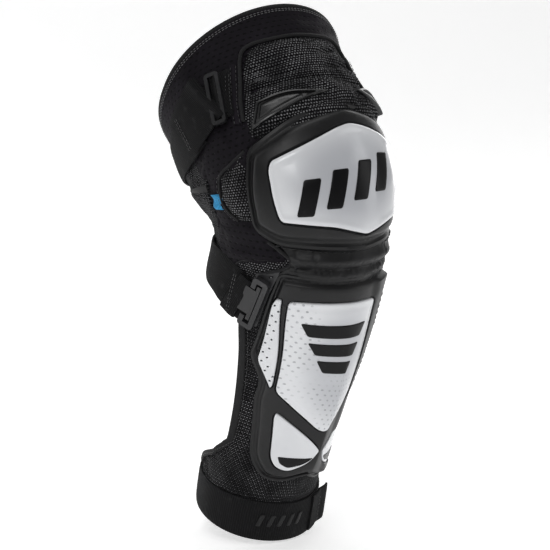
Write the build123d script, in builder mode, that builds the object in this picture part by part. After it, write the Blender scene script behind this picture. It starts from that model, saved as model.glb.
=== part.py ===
"""A knee and shin guard for motorcycle riding, in millimetres.

The guard is worn on a leg that is bent about fifty degrees. The origin is the knee joint's axis,
+Z is up, the knee cap faces -Y and the leg's outer side is -X. Every piece follows one surface,
the skin of the leg, which is given by elliptical rings at stations along the leg: below the knee
a station is negative, above it positive. A place on the guard is a turn round the leg (0 degrees
is the front, +90 the -X side), a station, and a height above the skin.
"""
from build123d import *
import os
from math import copysign, cos, radians, sin

import numpy as np

# Driving dimensions of the leg
SHIN_TILT = 11  # degrees that the ankle lies behind the knee
THIGH_TILT = 38  # degrees that the thigh leans back
AXIS_RISE = 2  # the thigh's line passes this far above the joint axis
SHIN_TWIST = 3.5  # degrees that the shin's mouldings are turned outward

# Layers, as heights above the skin
LINING = (0.0, 1.4)
CARRIER = (0.0, 1.6)
CUFF = (0.0, 3.5)
RIM_BINDING = (-0.8, 4.4)
GRIP_BAND = (-1.4, -0.2)
KNEE_FOAM = (2.4, 7.2)
SHIN_FOAM = (2.5, 4.3)
THIGH_FOAM = (3.8, 8.0)
PAD_COVER = (8.3, 10.5)
KNEE_FRAME = (8.2, 13.0)
SHIN_FRAME = (5.1, 9.4)
KNEE_PLATE = (14.8, 17.4)
SHIN_PLATE = (10.7, 13.3)
FLEX_PANEL = (4.0, 6.3)
TRIM = (9.3, 10.8)
TAB = (3.9, 6.0)
END_FLAP = (8.4, 10.3)
GUSSET = (3.0, 6.5)
SIDE_PANEL = (0.6, 3.0)
BACK_PANEL = (0.5, 2.5)
BELLOWS = (4.5, 9.5)
ANKLE_LOOP = (0.0, 2.0)
ANKLE_STRAP = (2.4, 5.0)
ANKLE_TAB = (5.3, 7.2)
INLAY_GAP = 0.6
INLAY_RISE = 0.8
KNEE_INLAY = (KNEE_PLATE[1] + INLAY_GAP, KNEE_PLATE[1] + INLAY_GAP + INLAY_RISE)
SHIN_INLAY = (SHIN_PLATE[1] + INLAY_GAP, SHIN_PLATE[1] + INLAY_GAP + INLAY_RISE)

# Cuff and ankle band, as front and back stations of their slanting edges
CUFF_FOOT = (72, 72)
CUFF_TOP = (140, 89)
RIM_FOOT = (140.2, 89.2)
RIM_TOP = (145, 94)
GRIP_FOOT = (102, 78)
GRIP_TOP = (116, 86)
LOOP_FOOT = (-300, -300)
LOOP_TOP = (-270, -270)
ANKLE_FOOT = (-316, -302)
ANKLE_TOP = (-276, -270)
THIGH_SPAN = (66, 78, 90, 102, 118, 133, 148)
ANKLE_SPAN = (-318, -308, -296, -284, -272, -258)

# Inlay bars
BAR_CENTRES = (24, 8, -8, -24)  # degrees of turn
BAR_ENDS = (-4, 18)  # stations, at the front
BAR_RISE = 0.2  # millimetres that the row climbs for each degree towards the inner side
BAR_HALF = 4.5  # degrees of turn
BAR_LEAN = 4.0  # degrees of turn
SHIN_BARS = ((-89, 23), (-107, 19), (-124, 14))  # station and half turn
SHIN_BAR_HALF = 6

BINDING = (0.5, 4.0)  # degrees of turn outside the shin carrier's edge

# Strap hardware
STRAP_WIDTH = 40
STRAP_THICKNESS = 2.2
THIGH_STRAP_HEIGHT = 6.4
CALF_STRAP_HEIGHT = 5.4
RING_LENGTH = 48
RING_DEPTH = 14
RING_BAR = 3.4
RING_BORE_RADIUS = 1
RING_SEAT = (60, 78, 9.0)  # turn, station and height of its middle
RING_LEAN = 0.23  # degrees of turn per millimetre along the leg
CATCH_LENGTH = 52
CATCH_DEPTH = 15
CATCH_WALL = 4.5
CATCH_RADIUS = 3
CATCH_THICKNESS = 5.0
CATCH_SEAT = (59.5, -76, 8.2)  # turn, station and height of its middle
CATCH_LEAN = 0.13  # degrees of turn per millimetre along the leg
CLIP_BAR = (37, 3.6)
CLIP_NECK = (26, 12)
CLIP_CLEARANCE = 2
CLIP_THICKNESS = 2.6

ARC_STEP = 12  # degrees between the points of a section's curve
STATION_STEP = 16  # millimetres between the sections of a curved piece
BAR_STEP = 5


def below(reach, side, front, back, wedge=0.0, shift=0.0):
    """A ring of the shin at a distance down from the knee."""
    tilt = radians(SHIN_TILT)
    y = reach * sin(tilt) + shift * cos(tilt)
    z = -reach * cos(tilt) + shift * sin(tilt)
    return (y, z, -SHIN_TILT, side, front, back, wedge)


def above(reach, tilt, side, front, back):
    """A ring of the thigh at a distance up from the knee."""
    y = reach * sin(radians(tilt))
    z = reach * cos(radians(tilt)) + AXIS_RISE
    return (y, z, tilt, side, front, back, 0.0)


# Station, then the ring's centre, tilt, half width, front depth, back depth and how wedge-shaped
# its front is: 0 is an ellipse, 1 would be a point
RINGS = {
    -318: below(318, 51, 50, 54, 0.0, 4),
    -272: below(272, 51, 54, 54, 0.1, 2),
    -225: below(225, 55, 67, 53, 0.5),
    -172: below(172, 60, 80, 54, 0.5),
    -122: below(122, 66, 87, 57, 0.3),
    -78: below(78, 69, 87, 58, 0.1),
    -32: (0, -32, -4, 72, 89, 62, 0.0),
    10: (2, 10, 12, 79, 88, 84, 0.0),
    50: above(50, 28, 82, 82, 92),
    85: above(85, 34, 83, 76, 87),
    118: above(118, THIGH_TILT, 86, 77, 87),
    148: above(148, THIGH_TILT, 88, 79, 89),
}
STATIONS = np.array(sorted(RINGS), float)
TABLE = np.array([RINGS[s] for s in sorted(RINGS)], float)


def ring_at(station):
    """The leg's ring at any station, on a smooth curve through the given rings."""
    place = np.interp(station, STATIONS, range(len(STATIONS)))
    low = min(int(place), len(STATIONS) - 2)
    t = place - low
    before = TABLE[low - 1] if low > 0 else 2 * TABLE[0] - TABLE[1]
    after = TABLE[low + 2] if low + 2 < len(TABLE) else 2 * TABLE[-1] - TABLE[-2]
    start, end = TABLE[low], TABLE[low + 1]
    linear = (end - before) * t
    square = (2 * before - 5 * start + 4 * end - after) * t**2
    cube = (3 * start - before - 3 * end + after) * t**3
    return 0.5 * (2 * start + linear + square + cube)


def local(turn, station, height):
    """A place's x and y in its ring's plane."""
    _, _, _, side, front, back, wedge = ring_at(station)
    facing, sideways = cos(radians(turn)), sin(radians(turn))
    depth = front if facing > 0 else back
    power = 1 + max(wedge, 0) if facing > 0 else 1
    x = -(side + height) * copysign(abs(sideways) ** power, sideways)
    return (x, -(depth + height) * copysign(abs(facing) ** power, facing))


def ring_plane(station):
    y, z, tilt = ring_at(station)[:3]
    up = (0, sin(radians(tilt)), cos(radians(tilt)))
    return Plane(origin=(0, y, z), x_dir=(1, 0, 0), z_dir=up)


def place(turn, station, height=0.0):
    """A place on the guard as a point in space."""
    return ring_plane(station).from_local_coords(Vector(*local(turn, station, height), 0))


def skin_plane(turn, station, height, lean=0.0):
    """A plane on the guard, with X along the leg and Z outward; lean is degrees of turn per mm."""
    reach = 5
    top = place(turn - lean * reach, station + reach, height)
    along = top - place(turn + lean * reach, station - reach, height)
    round_leg = place(turn + 1, station, height) - place(turn - 1, station, height)
    outward = along.cross(round_leg)
    return Plane(origin=place(turn, station, height), x_dir=along, z_dir=outward)


def across(start, end, face=1):
    """A plane across the leg through two places given as turn and station."""
    low, high = place(*start), place(*end)
    return Plane(origin=low, x_dir=(1, 0, 0), z_dir=Vector(1, 0, 0).cross(high - low) * face)


def slant(front, back, face=1):
    """A plane across the leg through a front and a back station, facing up or down the leg."""
    return across((0, front), (180, back), face)


def arc_points(station, first, last, height):
    count = max(3, int(abs(last - first) / ARC_STEP) + 2)
    return [local(turn, station, height) for turn in np.linspace(first, last, count)]


def filled(outline, step):
    """The outline with rows added on a common grid, so that stacked layers stay parallel."""
    rows = np.array(outline, float)
    rows = rows[rows[:, 0].argsort()]
    lowest, highest = rows[0, 0], rows[-1, 0]
    grid = [k * step for k in range(int(lowest // step), int(highest // step) + 1)]
    added = [s for s in grid if lowest < s < highest and abs(rows[:, 0] - s).min() > step / 5]
    stations = sorted([*rows[:, 0], *added])
    return [(s, *(np.interp(s, rows[:, 0], rows[:, k]) for k in (1, 2))) for s in stations]


def curved(outline, heights, side=1, step=STATION_STEP):
    """A curved plate: the outline gives a station and the turns between which it lies there."""
    low, high = heights
    with BuildPart() as piece:
        for station, first, last in filled(outline, step):
            with BuildSketch(ring_plane(station)):
                with BuildLine():
                    outer = Spline(arc_points(station, side * first, side * last, high))
                    inner = Spline(arc_points(station, side * first, side * last, low))
                    Line(outer @ 0, inner @ 0)
                    Line(outer @ 1, inner @ 1)
                make_face()
        loft(ruled=True)
    return piece


def wrap(stations, heights, cuts):
    """A band all round the leg, trimmed by planes that keep the side they face."""
    low, high = heights
    full_turn = np.arange(0, 360, ARC_STEP)
    with BuildPart() as piece:
        for height, mode in ((high, Mode.ADD), (low, Mode.SUBTRACT)):
            for station in stations:
                with BuildSketch(ring_plane(station)):
                    with BuildLine():
                        Spline([local(turn, station, height) for turn in full_turn], periodic=True)
                    make_face()
            loft(ruled=True, mode=mode)
        for plane in cuts:
            split(bisect_by=plane, keep=Keep.TOP)
    return piece


def ribbon(route, height, width=STRAP_WIDTH, thickness=STRAP_THICKNESS):
    """A strap: a flat section carried along places given as turn and station."""
    bends = np.array(route, float)
    turns = np.linspace(bends[0, 0], bends[-1, 0], int((bends[-1, 0] - bends[0, 0]) / ARC_STEP) + 2)
    seats = [skin_plane(turn, np.interp(turn, bends[:, 0], bends[:, 1]), height) for turn in turns]
    with BuildPart() as piece:
        for i, seat in enumerate(seats):
            tangent = seats[min(i + 1, len(seats) - 1)].origin - seats[max(i - 1, 0)].origin
            with BuildSketch(Plane(origin=seat.origin, x_dir=seat.x_dir, z_dir=tangent)):
                Rectangle(width, thickness)
        loft(ruled=True)
    return piece


def save(piece, label):
    piece.part.label = label
    export_step(piece.part, f"parts/{label}.step")


def patch(outline, heights, label, side=1):
    save(curved(outline, heights, side), label)


def mirrored(rows, twist=0):
    """An outline that is the same on both sides of the front line, or of a line beside it."""
    return [(station, twist - half, twist + half) for station, half in rows]


def twisted(rows, side):
    """One side's outline of a shin moulding, turned with the others."""
    return [(station, *(turn + side * SHIN_TWIST for turn in turns)) for station, *turns in rows]


def around(route):
    """A route from the outer side to the middle of the back, carried on to the inner side."""
    return route + [(360 - turn, station) for turn, station in reversed(route[:-1])]


os.makedirs("parts", exist_ok=True)
SIDES = (("left", 1), ("right", -1))

# Knee: lining, impact foam, moulded cup frame, plate, inlay bars and side gussets
patch(mirrored([(-22, 60), (10, 74), (40, 66)]), LINING, "knee_lining")
patch(mirrored([(-18, 40), (0, 52), (15, 54), (30, 48), (40, 30)]), KNEE_FOAM, "knee_foam")
KNEE_EDGE = [(-26, 22), (-22, 48), (-12, 58), (12, 57), (26, 52), (34, 44), (41, 30), (46, 9)]
patch(mirrored(KNEE_EDGE), KNEE_FRAME, "knee_cup_frame")
PLATE_EDGE = [(-18, 12), (-15, 30), (-10, 42), (8, 43), (21, 41), (27, 32), (33, 9)]
patch(mirrored(PLATE_EDGE), KNEE_PLATE, "knee_plate")
knee_bars = []
for middle in BAR_CENTRES:
    ends = zip(BAR_ENDS, (middle + BAR_LEAN, middle - BAR_LEAN))
    rise = -BAR_RISE * middle
    edges = [(station + rise, turn - BAR_HALF, turn + BAR_HALF) for station, turn in ends]
    knee_bars.append(curved(edges, KNEE_INLAY, step=BAR_STEP).part)
with BuildPart() as knee_plate_bars:
    add(knee_bars)
save(knee_plate_bars, "knee_plate_bars")
for name, side in SIDES:
    patch([(-12, 62, 74), (5, 61, 78), (22, 61, 77), (31, 58, 64)], GUSSET, f"side_gusset_{name}", side)
    patch([(-10, 79, 86), (6, 80, 90), (26, 79, 88)], GUSSET, f"gusset_binding_{name}", side)

# Soft panels that fold between the knee and its neighbours
patch(mirrored([(-49, 46), (-40, 54), (-29, 50)]), BELLOWS, "front_bellows")
patch(mirrored([(49, 46), (58, 48), (64, 46)]), FLEX_PANEL, "upper_flex_panel")
for name, side in SIDES:
    patch([(-60, 62, 74), (-48, 60, 74)], SIDE_PANEL, f"lower_mesh_patch_{name}", side)
    patch([(-56, 78, 92), (-46, 77, 93), (-24, 64, 94)], SIDE_PANEL, f"side_neoprene_{name}", side)
    patch([(36, 70, 93), (54, 60, 93), (69, 58, 93)], SIDE_PANEL, f"side_panel_{name}", side)
patch([(14, 94, 266), (70, 94, 266)], BACK_PANEL, "back_panel_upper")
patch([(-36, 97, 263), (12, 97, 263)], BACK_PANEL, "back_panel_lower")

# Thigh: cuff, bound rim, grip band, foam and mesh cover, piping and vent trims
save(wrap(THIGH_SPAN, CUFF, (slant(*CUFF_TOP, face=-1), slant(*CUFF_FOOT))), "thigh_cuff")
save(wrap(THIGH_SPAN, RIM_BINDING, (slant(*RIM_TOP, face=-1), slant(*RIM_FOOT))), "cuff_rim_binding")
save(wrap(THIGH_SPAN, GRIP_BAND, (slant(*GRIP_TOP, face=-1), slant(*GRIP_FOOT))), "silicone_grip_band")
patch(mirrored([(78, 36), (92, 34), (103, 28)]), THIGH_FOAM, "thigh_foam")
patch(mirrored([(66, 42), (80, 40), (96, 36), (108, 28)]), PAD_COVER, "thigh_mesh_cover")
for name, side in SIDES:
    patch([(66, 47, 51), (80, 42, 46), (108, 33, 37)], TAB, f"cover_piping_{name}", side)
    trim = [(48, 40, 43.5), (52, 24, 40), (55, 8, 38), (57, 2, 37), (61, 28, 35.5)]
    patch(trim, TRIM, f"vent_trim_{name}", side)

# Thigh strap: tab, ring and end flap on the outer side, sewn patch on the inner side
patch([(62, 54, 60), (78, 48, 57), (97, 41, 53)], TAB, "ring_tab")
patch([(64, -62, -52), (82, -60, -48), (99, -56, -44)], TAB, "strap_anchor_patch")
thigh_route = around([(68, 75), (84, 70), (102, 62), (120, 56), (150, 53), (180, 53)])
save(ribbon(thigh_route, THIGH_STRAP_HEIGHT), "thigh_strap")
with BuildPart() as strap_ring:
    with BuildSketch(skin_plane(*RING_SEAT, lean=RING_LEAN)):
        RectangleRounded(RING_LENGTH, RING_DEPTH, RING_BAR)
        bore = (RING_LENGTH - 2 * RING_BAR, RING_DEPTH - 2 * RING_BAR)
        RectangleRounded(*bore, RING_BORE_RADIUS, mode=Mode.SUBTRACT)
    extrude(amount=RING_BAR / 2, both=True)
save(strap_ring, "strap_ring")
patch([(60, 71, 92), (78, 69, 95), (96, 68, 92)], END_FLAP, "thigh_strap_end")

# Shin: carrier, foam, moulded frame, plates, vents and badges
CARRIER_EDGE = [(-64, 58), (-99, 66), (-130, 64), (-175, 64), (-217, 67), (-234, 79), (-252, 108)]
patch(mirrored(CARRIER_EDGE + [(-266, 119)]), CARRIER, "shin_carrier")
patch(mirrored([(-60, 42), (-120, 50), (-180, 46), (-240, 34)]), SHIN_FOAM, "shin_foam")
FRAME_EDGE = [(-51, 24), (-54, 43), (-88, 49), (-107, 51), (-126, 55), (-152, 49), (-170, 50)]
FRAME_EDGE += [(-208, 49), (-236, 46), (-248, 36), (-252, 22)]
patch(mirrored(FRAME_EDGE, SHIN_TWIST), SHIN_FRAME, "shin_frame")
SHIN_PLATE_EDGE = [(-66, 12), (-69, 32), (-106, 34), (-155, 35), (-167, 27), (-180, 15), (-191, 3)]
patch(mirrored(SHIN_PLATE_EDGE, SHIN_TWIST), SHIN_PLATE, "shin_plate")
shin_bars = []
for middle, half in SHIN_BARS:
    ends = [(middle - SHIN_BAR_HALF, half), (middle + SHIN_BAR_HALF, half)]
    edges = mirrored(ends, SHIN_TWIST)
    shin_bars.append(curved(edges, SHIN_INLAY, step=BAR_STEP).part)
with BuildPart() as shin_plate_bars:
    add(shin_bars)
save(shin_plate_bars, "shin_plate_bars")
for name, side in SIDES:
    vent = [(-68, 38, 43), (-98, 38, 45), (-127, 38, 48), (-153, 38, 40)]
    patch(twisted(vent, side), SHIN_PLATE, f"side_vent_{name}", side)
    lower = [(-181, 35, 37.5), (-198, 19, 37), (-213, 2, 36), (-226, 11, 34), (-236, 22, 30)]
    patch(twisted(lower, side), SHIN_PLATE, f"lower_plate_{name}", side)
    badge = [(-220, 13, 21), (-223, 14, 30), (-229, 23, 27)]
    patch(twisted(badge, side), SHIN_INLAY, f"lower_badge_{name}", side)
    edge = [(station, half + BINDING[0], half + BINDING[1]) for station, half in CARRIER_EDGE[1:5]]
    patch(edge, CARRIER, f"carrier_binding_{name}", side)

# Calf strap with its catch and clip
calf_route = around([(70, -76), (80, -68), (95, -62), (120, -60), (180, -60)])
save(ribbon(calf_route, CALF_STRAP_HEIGHT), "calf_strap")
catch_seat = skin_plane(*CATCH_SEAT, lean=CATCH_LEAN)
with BuildPart() as strap_catch:
    with BuildSketch(catch_seat):
        RectangleRounded(CATCH_LENGTH, CATCH_DEPTH, CATCH_RADIUS)
        Rectangle(CATCH_LENGTH - 2 * CATCH_WALL, CATCH_DEPTH - 2 * CATCH_WALL, mode=Mode.SUBTRACT)
        with Locations((0, CATCH_DEPTH / 2)):
            Rectangle(CLIP_NECK[0] + 2 * CLIP_CLEARANCE, CATCH_DEPTH, mode=Mode.SUBTRACT)
    extrude(amount=CATCH_THICKNESS / 2, both=True)
save(strap_catch, "strap_catch")
with BuildPart() as calf_clip:
    with BuildSketch(catch_seat):
        Rectangle(*CLIP_BAR)
        with Locations((0, CLIP_NECK[1] / 2)):
            Rectangle(*CLIP_NECK)
    extrude(amount=CLIP_THICKNESS / 2, both=True)
save(calf_clip, "calf_clip")

# Ankle: loop-faced band, elastic strap and its end tab
save(wrap(ANKLE_SPAN, ANKLE_LOOP, (slant(*LOOP_FOOT), slant(*LOOP_TOP, face=-1))), "ankle_loop_band")
save(wrap(ANKLE_SPAN, ANKLE_STRAP, (slant(*ANKLE_FOOT), slant(*ANKLE_TOP, face=-1))), "ankle_strap")
patch([(-312, -52, -27), (-296, -54, -27), (-280, -52, -27)], ANKLE_TAB, "ankle_strap_tab")
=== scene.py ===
"""Looks of the knee and shin guard. Every place on it is a turn round the leg in degrees (0 is the
front, +90 the outer side), a station along the leg in mm and a height above the skin in mm."""
import math

import bmesh
import bpy
import numpy as np
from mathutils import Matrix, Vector
from mathutils.geometry import delaunay_2d_cdt


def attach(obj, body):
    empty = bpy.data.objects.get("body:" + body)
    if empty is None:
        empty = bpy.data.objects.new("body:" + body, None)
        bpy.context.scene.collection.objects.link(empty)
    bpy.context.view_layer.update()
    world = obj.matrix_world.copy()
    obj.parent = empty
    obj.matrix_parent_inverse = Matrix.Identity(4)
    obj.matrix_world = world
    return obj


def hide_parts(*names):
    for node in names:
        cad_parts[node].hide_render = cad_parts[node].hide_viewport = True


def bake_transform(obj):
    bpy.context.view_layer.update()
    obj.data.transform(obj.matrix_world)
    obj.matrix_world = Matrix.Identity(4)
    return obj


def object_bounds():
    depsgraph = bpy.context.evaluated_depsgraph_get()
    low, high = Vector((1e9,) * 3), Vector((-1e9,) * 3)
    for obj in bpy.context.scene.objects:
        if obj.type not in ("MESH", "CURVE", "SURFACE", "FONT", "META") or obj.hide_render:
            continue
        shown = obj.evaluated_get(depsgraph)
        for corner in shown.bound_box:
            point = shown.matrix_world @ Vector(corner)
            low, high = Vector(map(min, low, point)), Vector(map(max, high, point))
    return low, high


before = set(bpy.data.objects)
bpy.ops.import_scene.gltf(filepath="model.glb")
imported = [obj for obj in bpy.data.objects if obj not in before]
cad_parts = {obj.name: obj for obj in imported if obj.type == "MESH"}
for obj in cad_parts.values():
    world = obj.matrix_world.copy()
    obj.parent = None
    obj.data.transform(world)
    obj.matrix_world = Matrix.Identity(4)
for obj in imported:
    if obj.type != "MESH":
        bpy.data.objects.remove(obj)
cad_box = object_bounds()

MM = 0.001
SIDES = (("left", 1), ("right", -1))
SLIDE = 1.2  # the most that a simulated point may move along the skin, in mm
UV_SCALE = 100.0  # a mesh's flat layout is in units of 100 mm

# ---------------------------------------------------------------- the leg's skin
SHIN_TILT = 11
THIGH_TILT = 38
AXIS_RISE = 2
SHIN_TWIST = 3.5  # the shin's mouldings are turned outward
PLATE_TWIST = 8.5  # and its white plate a little further
CUP_TWIST = -4.0  # the knee plate is turned inward
LOWER_TWIST = {1: SHIN_TWIST, -1: -6.0}  # the two lower plates stand apart


def below(reach, side, front, back, wedge=0.0, shift=0.0):
    """Places a ring of the skin on the shin side of the knee's axis."""
    tilt = math.radians(SHIN_TILT)
    y = reach * math.sin(tilt) + shift * math.cos(tilt)
    z = -reach * math.cos(tilt) + shift * math.sin(tilt)
    return (y, z, -SHIN_TILT, side, front, back, wedge)


def above(reach, tilt, side, front, back):
    """Places a ring of the skin on the thigh side of the knee's axis."""
    y = reach * math.sin(math.radians(tilt))
    z = reach * math.cos(math.radians(tilt)) + AXIS_RISE
    return (y, z, tilt, side, front, back, 0.0)


# Station, then the ring's centre, tilt, half width, front depth, back depth and how wedge-shaped its front is
RINGS = {
    -318: below(318, 51, 50, 54, 0.0, 4),
    -272: below(272, 51, 54, 54, 0.1, 2),
    -225: below(225, 55, 67, 53, 0.5),
    -172: below(172, 60, 80, 54, 0.5),
    -122: below(122, 66, 87, 57, 0.3),
    -78: below(78, 69, 87, 58, 0.1),
    -32: (2, -32, -4, 71, 86, 59, 0.0),
    10: (6, 10, 12, 79, 85, 88, 0.0),
    50: above(50, 29, 82, 79, 95),
    85: above(85, 34.5, 83, 73, 88),
    118: above(118, THIGH_TILT, 86, 77, 87),
    148: above(148, THIGH_TILT, 88, 79, 89),
}
STATIONS = np.array(sorted(RINGS), float)
TABLE = np.array([RINGS[s] for s in sorted(RINGS)], float)
PADDED = np.vstack([2 * TABLE[0] - TABLE[1], TABLE, 2 * TABLE[-1] - TABLE[-2]])


def rings_at(station):
    """The leg's rings at many stations, one row each."""
    station = np.asarray(station, float)
    spot = np.interp(station, STATIONS, range(len(STATIONS)))
    low = np.minimum(spot.astype(int), len(STATIONS) - 2)
    t = (spot - low)[..., None]
    before, start, end, after = (PADDED[low + k] for k in range(4))
    linear = (end - before) * t
    square = (2 * before - 5 * start + 4 * end - after) * t**2
    cube = (3 * start - before - 3 * end + after) * t**3
    return 0.5 * (2 * start + linear + square + cube)


def skin(turn, station, height):
    """Points in metres for turns, stations and heights."""
    turn, station, height = np.broadcast_arrays(*(np.asarray(v, float) for v in (turn, station, height)))
    y, z, tilt, side, front, back, wedge = np.moveaxis(rings_at(station), -1, 0)
    facing, sideways = np.cos(np.radians(turn)), np.sin(np.radians(turn))
    depth = np.where(facing > 0, front, back)
    power = 1 + np.where(facing > 0, np.maximum(wedge, 0), 0.0)
    x = -(side + height) * np.sign(sideways) * np.abs(sideways) ** power
    ahead = -(depth + height) * np.sign(facing) * np.abs(facing) ** power
    tilt = np.radians(tilt)
    return np.stack([x, y + ahead * np.cos(tilt), z - ahead * np.sin(tilt)], -1) * MM


def pace(station):
    """Millimetres round the leg for each degree of turn."""
    rings = rings_at(station)
    return np.radians((rings[..., 3] + rings[..., 4]) / 2 + 6)


def flat(places):
    """Turns and stations as millimetres on the unrolled skin."""
    places = np.asarray(places, float)
    return np.stack([places[:, 0] * pace(places[:, 1]), places[:, 1]], -1)


def spread(turn, station):
    """A grid of turns and stations as millimetres on the unrolled skin."""
    return np.stack([turn * pace(station), station], -1)


def unrolled(xy, height):
    """Places on the unrolled skin, back on the leg."""
    xy = np.asarray(xy, float)
    return skin(xy[:, 0] / pace(xy[:, 1]), xy[:, 1], height)


# ---------------------------------------------------------------- outlines on the unrolled skin
def outline(corners, radius=4.0, step=1.6):
    """A closed outline with rounded corners, through turns and stations. A corner may give its own radius."""
    points = flat([c[:2] for c in corners])
    radii = [c[2] if len(c) > 2 else radius for c in corners]
    path = []
    for i, (corner, r) in enumerate(zip(points, radii)):
        back, ahead = points[i - 1] - corner, points[(i + 1) % len(points)] - corner
        lengths = np.linalg.norm(back), np.linalg.norm(ahead)
        reach = min(r, 0.48 * lengths[0], 0.48 * lengths[1])
        start, end = corner + back / lengths[0] * reach, corner + ahead / lengths[1] * reach
        for t in np.linspace(0, 1, max(3, int(reach * 1.6 / step) + 2)):
            path.append((1 - t) ** 2 * start + 2 * t * (1 - t) * corner + t**2 * end)
    return evenly(np.array(path), step, closed=True)


def evenly(path, step, closed=False):
    """The same path with points at even distances."""
    if closed:
        path = np.vstack([path, path[:1]])
    lengths = np.r_[0, np.cumsum(np.linalg.norm(np.diff(path, axis=0), axis=1))]
    count = max(3, int(round(lengths[-1] / step)))
    at = np.linspace(0, lengths[-1], count + 1)
    at = at[:-1] if closed else at
    return np.stack([np.interp(at, lengths, path[:, k]) for k in range(path.shape[1])], -1)


def mirror(corners):
    """The left half's corners, from the top middle down, and their mirror image."""
    other = [(-c[0], *c[1:]) for c in reversed(corners) if abs(c[0]) > 1e-6]
    return list(corners) + other


def swap(corners, side):
    """Takes an outline or a route to the given side of the leg."""
    return [(side * c[0], *c[1:]) for c in corners]


def twisted(corners, by=SHIN_TWIST):
    """The same corners turned round the leg, outward where by is positive."""
    return [(c[0] + by, *c[1:]) for c in corners]


def inside(points, loop):
    """Signed distance to a closed outline, positive inside."""
    points = np.asarray(points, float)
    start, end = loop, np.roll(loop, -1, axis=0)
    edge = end - start
    best = np.full(len(points), 1e9)
    crossings = np.zeros(len(points), int)
    for a, b, d in zip(start, end, edge):
        rel = points - a
        t = np.clip(rel @ d / max(d @ d, 1e-12), 0, 1)
        best = np.minimum(best, np.hypot(*(rel - t[:, None] * d).T))
        spans = (a[1] > points[:, 1]) != (b[1] > points[:, 1])
        if abs(d[1]) > 1e-12:
            crossings += spans & (points[:, 0] < a[0] + (points[:, 1] - a[1]) * d[0] / d[1])
    return np.where(crossings % 2 == 1, best, -best)


def inset(loop, distance):
    """The outline moved inward."""
    ahead = np.roll(loop, -1, axis=0) - np.roll(loop, 1, axis=0)
    normal = np.stack([-ahead[:, 1], ahead[:, 0]], -1) / np.linalg.norm(ahead, axis=1)[:, None]
    area = 0.5 * np.sum(loop[:, 0] * np.roll(loop[:, 1], -1) - np.roll(loop[:, 0], -1) * loop[:, 1])
    return loop + normal * distance * (1 if area > 0 else -1)


def ramp(value, start, end):
    """0 before start, 1 after end, smooth between them."""
    t = np.clip((np.asarray(value, float) - start) / (end - start), 0, 1)
    return t * t * (3 - 2 * t)


def rounded_edge(depth, radius, drop):
    """How far a rounded edge falls at a distance inside its outline."""
    t = np.clip(depth / radius, 0, 1)
    return drop * (1 - np.sqrt(np.clip(1 - (1 - t) ** 2, 0, 1)))


def near_edge(share, start):
    """1 at both ends of a share that runs from 0 to 1, and 0 from start inward."""
    return ramp(np.abs(2 * share - 1), start, 1)


def span(u, station, first, last):
    """Turns between a panel's two side edges, each given as stations and turns."""
    start, end = np.interp(station, *first), np.interp(station, *last)
    return start + (end - start) * u


def border(u_start, v_start):
    """Says where a cloth panel is sewn down: near its four edges."""
    return lambda u, v, turn, station: np.maximum(near_edge(u, u_start), near_edge(v, v_start))


def level(top, edge, radius, drop):
    """A flat top with a rounded edge, for relief."""
    return lambda xy: top - rounded_edge(inside(xy, edge), radius, drop)


def raised(surface, edge, rise, radius=0.7, drop=0.5):
    """A top that stands a little above another surface, for relief."""
    return lambda xy: surface(xy) + rise - rounded_edge(inside(xy, edge), radius, drop)


# ---------------------------------------------------------------- meshes
def finish_mesh(name, verts, faces, uvs, sharp=40):
    """A mesh object; uvs are one pair for each vertex or for each corner of each face."""
    mesh = bpy.data.meshes.new(name)
    mesh.from_pydata([tuple(v) for v in verts], [], [tuple(f) for f in faces])
    layer = mesh.uv_layers.new(name="flat")
    loops = np.empty(len(mesh.loops), int)
    mesh.loops.foreach_get("vertex_index", loops)
    values = np.asarray(uvs, float)
    values = values[loops] if len(values) == len(verts) else values
    layer.data.foreach_set("uv", (values / UV_SCALE).ravel())
    obj = bpy.data.objects.new(name, mesh)
    bpy.context.scene.collection.objects.link(obj)
    work = bmesh.new()
    work.from_mesh(mesh)
    bmesh.ops.recalc_face_normals(work, faces=work.faces)
    work.to_mesh(mesh)
    work.free()
    mesh.polygons.foreach_set("use_smooth", [True] * len(mesh.polygons))
    mesh.set_sharp_from_angle(angle=math.radians(sharp))
    mesh.update()
    return obj


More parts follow.
